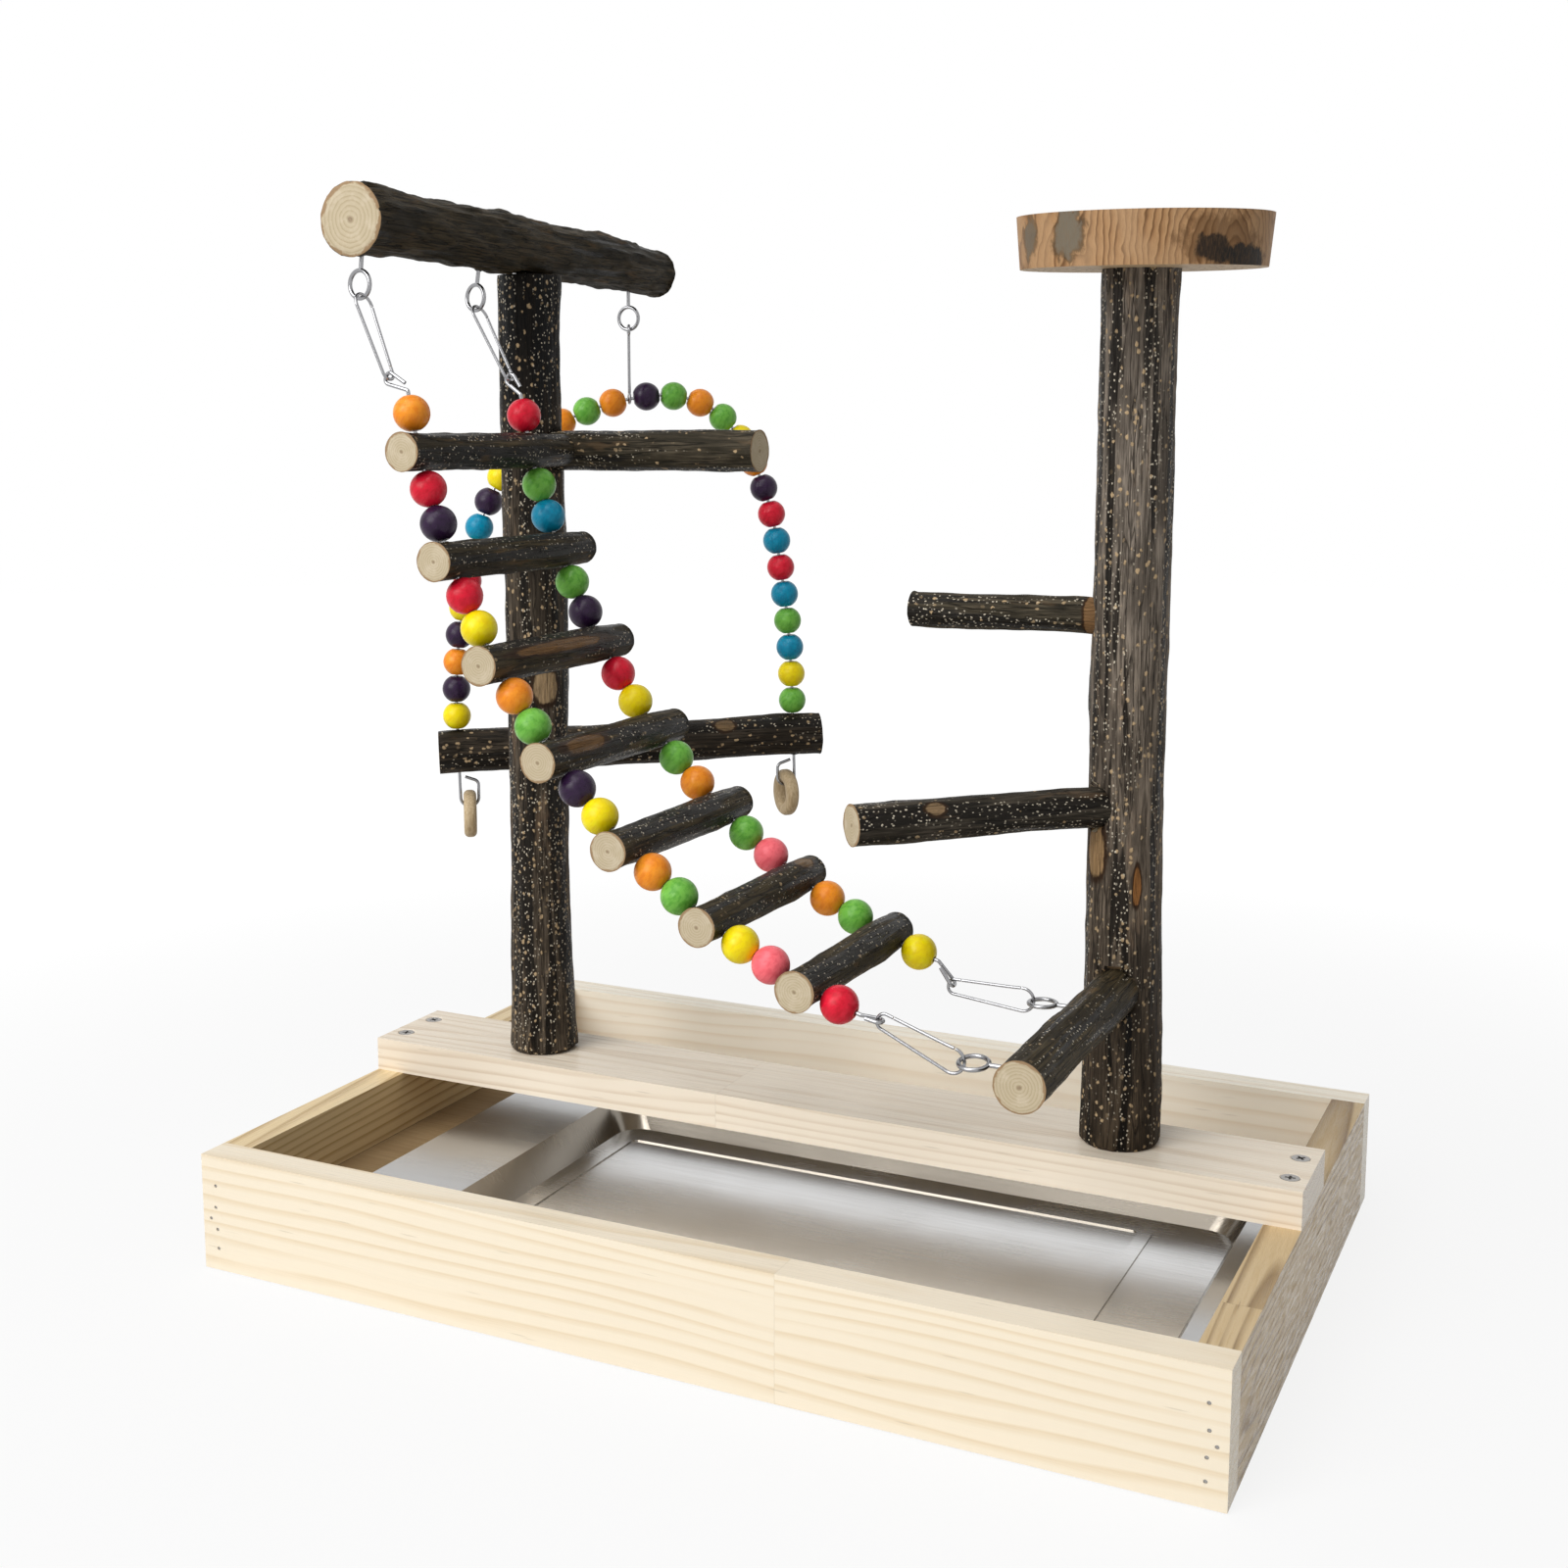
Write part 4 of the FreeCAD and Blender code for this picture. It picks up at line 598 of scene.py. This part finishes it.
def mark_bark(cone, length, radius, far):
    """Puts the cone's sides, but not its ends, in the group that the fit and the carving move."""
    group = cone.vertex_groups.new(name="bark")
    for point in cone.data.vertices:
        here = radius * (1 + (far - 1) * (point.co.z / length + 0.5))
        if math.hypot(point.co.x, point.co.y) > here * 0.985:
            inward = min(1.0, (length / 2 - abs(point.co.z)) / END_FADE)
            group.add([point.index], END_CARVING + (1 - END_CARVING) * inward, "REPLACE")


def fit_bark(branch, node):
    """Lays the branch's sides on its CAD solid."""
    fit = branch.modifiers.new("fit", "SHRINKWRAP")
    fit.target = NODES[node]
    fit.wrap_method = "PROJECT"
    fit.use_negative_direction = True
    fit.use_positive_direction = True
    fit.project_limit = FIT_REACH
    fit.vertex_group = "bark"
    bpy.ops.object.modifier_apply(modifier="fit")


def carve_bark(branch, name, axes, texture, grain, depth):
    """Carves the branch's sides inward, up to the depth, by a texture stretched along the branch."""
    guide = bpy.data.objects.new("guide", None)
    bpy.context.scene.collection.objects.link(guide)
    guide.matrix_world = axes @ Matrix.Diagonal((*grain, 1))
    bpy.context.view_layer.update()
    carve = branch.modifiers.new(name, "DISPLACE")
    carve.texture = texture
    carve.texture_coords = "OBJECT"
    carve.texture_coords_object = guide
    carve.vertex_group = "bark"
    carve.mid_level = 1.0
    carve.strength = depth
    bpy.ops.object.modifier_apply(modifier=name)
    bpy.data.objects.remove(guide)
    bpy.data.textures.remove(texture)


def new_texture(name, kind):
    """A texture for the carving."""
    texture = bpy.data.textures.new(name, kind)
    texture.noise_scale = 0.35
    return texture


def make_branch(node, body, start, finish, radius, skin, cut,
                ridges=0.00045, lumps=0.0005, sides=72, far=1.0):
    """A bark branch over its CAD solid: a cone cut into rings, fitted to the solid, then carved.

    radius is the one at the start, and far times it the one at the finish. ridges and lumps are the depths
    of the fine and of the broad carving.
    """
    start = Vector(start)
    finish = Vector(finish)
    run = finish - start
    branch = cut_cone(node + "_bark", start, finish, radius, far, sides)
    mark_bark(branch, run.length, radius, far)
    axes = branch.matrix_world.copy()
    bpy.ops.object.transform_apply(location=True, rotation=True, scale=True)
    fit_bark(branch, node)
    broad = new_texture(node + "_lumps", "CLOUDS")
    broad.noise_depth = 2
    carve_bark(branch, "lumps", axes, broad, (0.02, 0.02, 0.06), lumps)
    fine = new_texture(node + "_ridges", "MUSGRAVE")
    fine.octaves = 3
    fine.noise_intensity = 0.9
    carve_bark(branch, "ridges", axes, fine, (0.010, 0.010, 0.085), ridges)
    branch.vertex_groups.clear()
    branch.data.materials.append(skin)
    branch.data.materials.append(cut)
    way = run.normalized()
    end_reach = (radius - 0.0007) * 1.06
    for face in branch.data.polygons:
        out = face.center - start
        out -= way * out.dot(way)
        face.material_index = 1 if abs(face.normal.dot(way)) > 0.8 and out.length < end_reach else 0
    bpy.ops.object.shade_smooth_by_angle(angle=math.radians(50))
    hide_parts(node)
    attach(branch, body)


# Both posts stand at this distance from the middle, with their feet just above the plank's top.
POST_X = 0.144
POST_FOOT = 0.0681
LEFT_POST_TOP = 0.4364
LEFT_POST_RADIUS = 0.0147
RIGHT_POST_TOP = 0.4288
RIGHT_POST_RADIUS = 0.0157

# The posts' bark is darkened by height: at the top of the left one with painted shade under the top perch,
# and towards the foot of the right one.
LEFT_TONE_AND_SHADE = [(0.0, (0.75, 0.72, 0.68)), (0.2, (0.9, 0.88, 0.85)), (0.34, (0.62, 0.60, 0.57)),
             (0.39, (0.06, 0.055, 0.05))]
RIGHT_TONE = [(0.06, (0.24, 0.20, 0.15)), (0.13, (0.42, 0.38, 0.33)), (0.22, (0.85, 0.82, 0.78)),
              (0.32, (1, 1, 1))]

# The top perch lies along Y on the left post and gets thinner towards the back.
TOP_PERCH_NEAR = (-POST_X, -0.1295, 0.449)
TOP_PERCH_FAR = (-POST_X, 0.1185, 0.4462)
TOP_PERCH_RADIUS = 0.01515

LEFT_PERCH_HEIGHT = 0.3568
LEFT_PERCH_RADIUS = 0.0094
UPPER_PERCH_HEIGHT = 0.290
UPPER_PERCH_RADIUS = 0.00775
MIDDLE_PERCH_HEIGHT = 0.2124
MIDDLE_PERCH_WAY = Vector((-0.69, -0.72, 0.002)).normalized()
MIDDLE_PERCH_RADIUS = 0.0086
LOWER_PERCH_HEIGHT = 0.136
LOWER_PERCH_WAY = Vector((0, -1, -0.012)).normalized()
LOWER_PERCH_RADIUS = 0.0100


def way_turn(way):
    """The rotation that points local Z a given way."""
    return tuple(way.to_track_quat("Z", "Y").to_euler())


def make_posts(cut):
    """The two posts on the plank."""
    left = bark("bark_left_post", UPRIGHT, (0.035, 0.027, 0.019), (0.150, 0.120, 0.090),
                [((-0.1328, -0.0095, 0.2473), (0.0065, 0.0065, 0.0090), (0.42, 0.29, 0.16))],
                gold=0.72, white=0.95, black_from=0.49, tone=LEFT_TONE_AND_SHADE)
    right = bark("bark_right_post", UPRIGHT, (0.075, 0.061, 0.048), (0.27, 0.225, 0.18),
                 [((0.1338, -0.0130, 0.1950), (0.0058, 0.006, 0.0125), (0.40, 0.25, 0.12)),
                  ((0.1520, -0.0130, 0.1812), (0.0016, 0.004, 0.0085), (0.30, 0.13, 0.04))],
                 gold=0.72, white=0.9, black_from=0.53, tone=RIGHT_TONE)
    make_branch("left_post", "stand", (-POST_X, 0, POST_FOOT), (-POST_X, 0, LEFT_POST_TOP),
                LEFT_POST_RADIUS, left, cut)
    make_branch("right_post", "stand", (POST_X, 0, POST_FOOT), (POST_X, 0, RIGHT_POST_TOP),
                RIGHT_POST_RADIUS, right, cut)


def make_top_perch(cut):
    """The thick cross branch, whose bark is rough and has no dots."""
    rough = bark("bark_top_perch", ALONG_Y, (0.010, 0.008, 0.004), (0.062, 0.045, 0.024),
                 gold=0.0, white=0.0, black_from=0.60)
    make_branch("top_perch", "stand", TOP_PERCH_NEAR, TOP_PERCH_FAR, TOP_PERCH_RADIUS, rough, cut,
                ridges=0.0012, lumps=0.0020, far=0.80)


def make_side_perches(rungs, cut):
    """The four perches that are screwed to the posts."""
    sideways = bark("bark_side_perches", ALONG_X, (0.022, 0.018, 0.011), (0.088, 0.071, 0.047),
                    [((0.1280, 0, 0.2900), (0.02, 0.02, 0.0032), (0.24, 0.13, 0.055))],
                    gold=0.35, white=0.9)
    make_branch("left_post_perch", "stand", (-0.134, 0, LEFT_PERCH_HEIGHT), (-0.0255, 0, LEFT_PERCH_HEIGHT),
                LEFT_PERCH_RADIUS, sideways, cut)
    make_branch("right_upper_perch", "stand", (0.133, 0, UPPER_PERCH_HEIGHT), (0.048, 0, UPPER_PERCH_HEIGHT),
                UPPER_PERCH_RADIUS, sideways, cut)

    slanted = bark("bark_middle_perch", way_turn(MIDDLE_PERCH_WAY), (0.024, 0.020, 0.014),
                   (0.085, 0.070, 0.053),
                   [((0.0860, -0.0700, 0.2190), (0.003, 0.004, 0.0045), (0.26, 0.17, 0.09))],
                   gold=0.35, white=0.9, black_from=0.50)
    post = Vector((POST_X, 0, MIDDLE_PERCH_HEIGHT))
    make_branch("right_middle_perch", "stand", post + MIDDLE_PERCH_WAY * 0.010,
                post + MIDDLE_PERCH_WAY * 0.124, MIDDLE_PERCH_RADIUS, slanted, cut)

    post = Vector((POST_X, 0, LOWER_PERCH_HEIGHT))
    make_branch("right_lower_perch", "stand", post + LOWER_PERCH_WAY * 0.010,
                post + LOWER_PERCH_WAY * 0.137, LOWER_PERCH_RADIUS, rungs, cut)


def make_rungs(rungs, cut):
    """The ladder's rungs, placed by the boxes of their solids."""
    for number in range(1, 8):
        node = "ladder_rung_" + str(number)
        low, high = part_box(node)
        x = (low.x + high.x) / 2
        z = (low.z + high.z) / 2
        make_branch(node, "ladder", (x, low.y, z), (x, high.y, z), (high.z - low.z) / 2 * 0.98, rungs, cut,
                    sides=56, far=0.89)


SWING_TURN = math.radians(35.5)               # from the stand's plane
SWING_MIDDLE = (-POST_X, 0.0907, 0.2026)      # under the eye screw, at the foot's height
SWING_PERCH_LENGTH = 0.1987
SWING_PERCH_RISE = 0.0046
SWING_PERCH_RADIUS = 0.0110


def make_swing_perch(cut):
    """The swing's perch, which hangs turned out of the stand's plane."""
    along = Vector((math.cos(SWING_TURN), math.sin(SWING_TURN), 0))
    foot = Vector(SWING_MIDDLE) - along * 0.0999
    tip = foot + along * SWING_PERCH_LENGTH + Vector((0, 0, SWING_PERCH_RISE))
    swinging = bark("bark_swing_perch", way_turn(tip - foot), (0.016, 0.012, 0.008), (0.062, 0.048, 0.034),
                    [((-0.1011, 0.1122, 0.2145), (0.004, 0.004, 0.0055), (0.22, 0.14, 0.07))],
                    gold=0.40, white=0.75)
    make_branch("swing_perch", "swing", foot, tip, SWING_PERCH_RADIUS, swinging, cut)


def make_branches():
    """Every bark-covered branch, over its solid."""
    cut = cut_wood()
    rungs = bark("bark_rungs", ALONG_Y, (0.016, 0.012, 0.006), (0.074, 0.055, 0.028),
                 [((-0.0765, -0.0830, 0.2765), (0.0045, 0.0026, 0.0370), (0.20, 0.105, 0.040)),
                  ((-0.0505, -0.1080, 0.2405), (0.0045, 0.0036, 0.0170), (0.17, 0.090, 0.034)),
                  ((0.0155, -0.0400, 0.1839), (0.0050, 0.0030, 0.0070), (0.20, 0.12, 0.055))],
                 gold=0.22, white=0.65, black_from=0.50)
    make_posts(cut)
    make_top_perch(cut)
    make_side_perches(rungs, cut)
    make_rungs(rungs, cut)
    make_swing_perch(cut)


# ------------------------------------------------------------ the other pieces

WIRE_WORDS = ("wire", "eye", "clip", "gate", "hook")

# The full and the deep tone of each bead stain.
BEAD_STAINS = {
    "red": ((0.72, 0.011, 0.036), (0.46, 0.005, 0.015)),
    "orange": ((0.92, 0.30, 0.020), (0.74, 0.17, 0.006)),
    "yellow": ((0.93, 0.74, 0.004), (0.80, 0.56, 0.002)),
    "green": ((0.17, 0.47, 0.065), (0.045, 0.25, 0.015)),
    "blue": ((0.002, 0.27, 0.44), (0.001, 0.15, 0.28)),
    "purple": ((0.028, 0.010, 0.040), (0.008, 0.003, 0.012)),
    "pink": ((0.97, 0.17, 0.20), (0.76, 0.075, 0.10)),
}


def dress(material, *nodes):
    """Gives CAD nodes their finish."""
    for name in nodes:
        mesh = NODES[name].data
        mesh.materials.clear()
        mesh.materials.append(material)


def dress_boards():
    """Each board of the box has its own grain, nearly along its length."""
    lengthwise = math.pi / 2
    front = pine("pine_front", (0, lengthwise + 0.012, 0), heart=(0, -0.120, -0.012),
                 early=(0.90, 0.80, 0.635), late=(0.80, 0.66, 0.46), spacing=0.0050, waves=0.005,
                 joint=("X", 0.0538, (0.004, 0.014, 0.3)))
    dress(front, "front_board")
    # Painted light: the back board's colours are lighter than the front's, to brighten its inner face deep
    # in the box.
    back = pine("pine_back_painted_light", (0, lengthwise - 0.02, 0.01), heart=(0, 0.175, 0.010),
                early=(1.0, 0.93, 0.79), late=(0.90, 0.79, 0.62))
    dress(back, "back_board")
    # Painted shade: the left board's colours are darker and more brown, for its shadowed inner face.
    left = pine("pine_left_painted_shade", (lengthwise + 0.03, 0, 0.01), heart=(-0.190, 0, -0.010),
                early=(0.80, 0.63, 0.37), late=(0.48, 0.32, 0.14))
    dress(left, "left_side_board")
    # Painted shade: the right board's colours are much darker, for its outer face, which is turned from the
    # lamps.
    right = pine("pine_right_painted_shade", (lengthwise - 0.02, 0, 0.055), heart=(0.243, -0.02, 0.020),
                 early=(0.64, 0.48, 0.27), late=(0.22, 0.13, 0.055), spacing=0.0036, waves=0.0016,
                 joint=("Y", -0.1005, (0.020, -0.011, 0.2)))
    dress(right, "right_side_board")
    plank = pine("pine_plank", (0, lengthwise - 0.004, 0.008), heart=(0, 0.004, 0.085),
                 early=(0.88, 0.78, 0.64), late=(0.71, 0.58, 0.43), spacing=0.0036, waves=0.004,
                 joint=("X", -0.0362, (0.006, 0.009, 0.2)))
    dress(plank, "cross_plank")
    dress(thin_board(), "floor_panel")


def dress_turned_pieces():
    """The wooden slice on the right post and the chewing rings."""
    dress(slice_wood((POST_X, 0.006, 0.440)), "round_platform")
    dress(turned_wood(), "swing_ring_left", "swing_ring_right")


def dress_metal():
    """The tray's brushed sheet, the bright wires and the zinc-coated screws and nails."""
    sheet = steel("stainless", (0.77, 0.77, 0.77), 0.24, (0.05, 0.0004, 0.01), painted_reflection_level=0.35)
    dress(sheet, "droppings_tray")
    wire = steel("bright_wire", (0.34, 0.34, 0.35), 0.22, (0.005, 0.005, 0.005))
    dress(wire, *[name for name in NODES if any(word in name for word in WIRE_WORDS)])
    zinc = steel("zinc_steel", (0.36, 0.345, 0.33), 0.35, (0.001, 0.001, 0.001))
    dress(zinc, "frame_nails", "plank_screws", "post_screws", "perch_screws")


def dress_beads():
    """The stained beads of the ladder and the swing."""
    for colour, (full, deep) in BEAD_STAINS.items():
        finish = stain(colour + "_bead", full, deep)
        dress(finish, *[name for name in NODES if name.endswith("beads_" + colour)])


set_camera()
set_light()
add_floor()
make_branches()
dress_boards()
dress_turned_pieces()
dress_metal()
dress_beads()
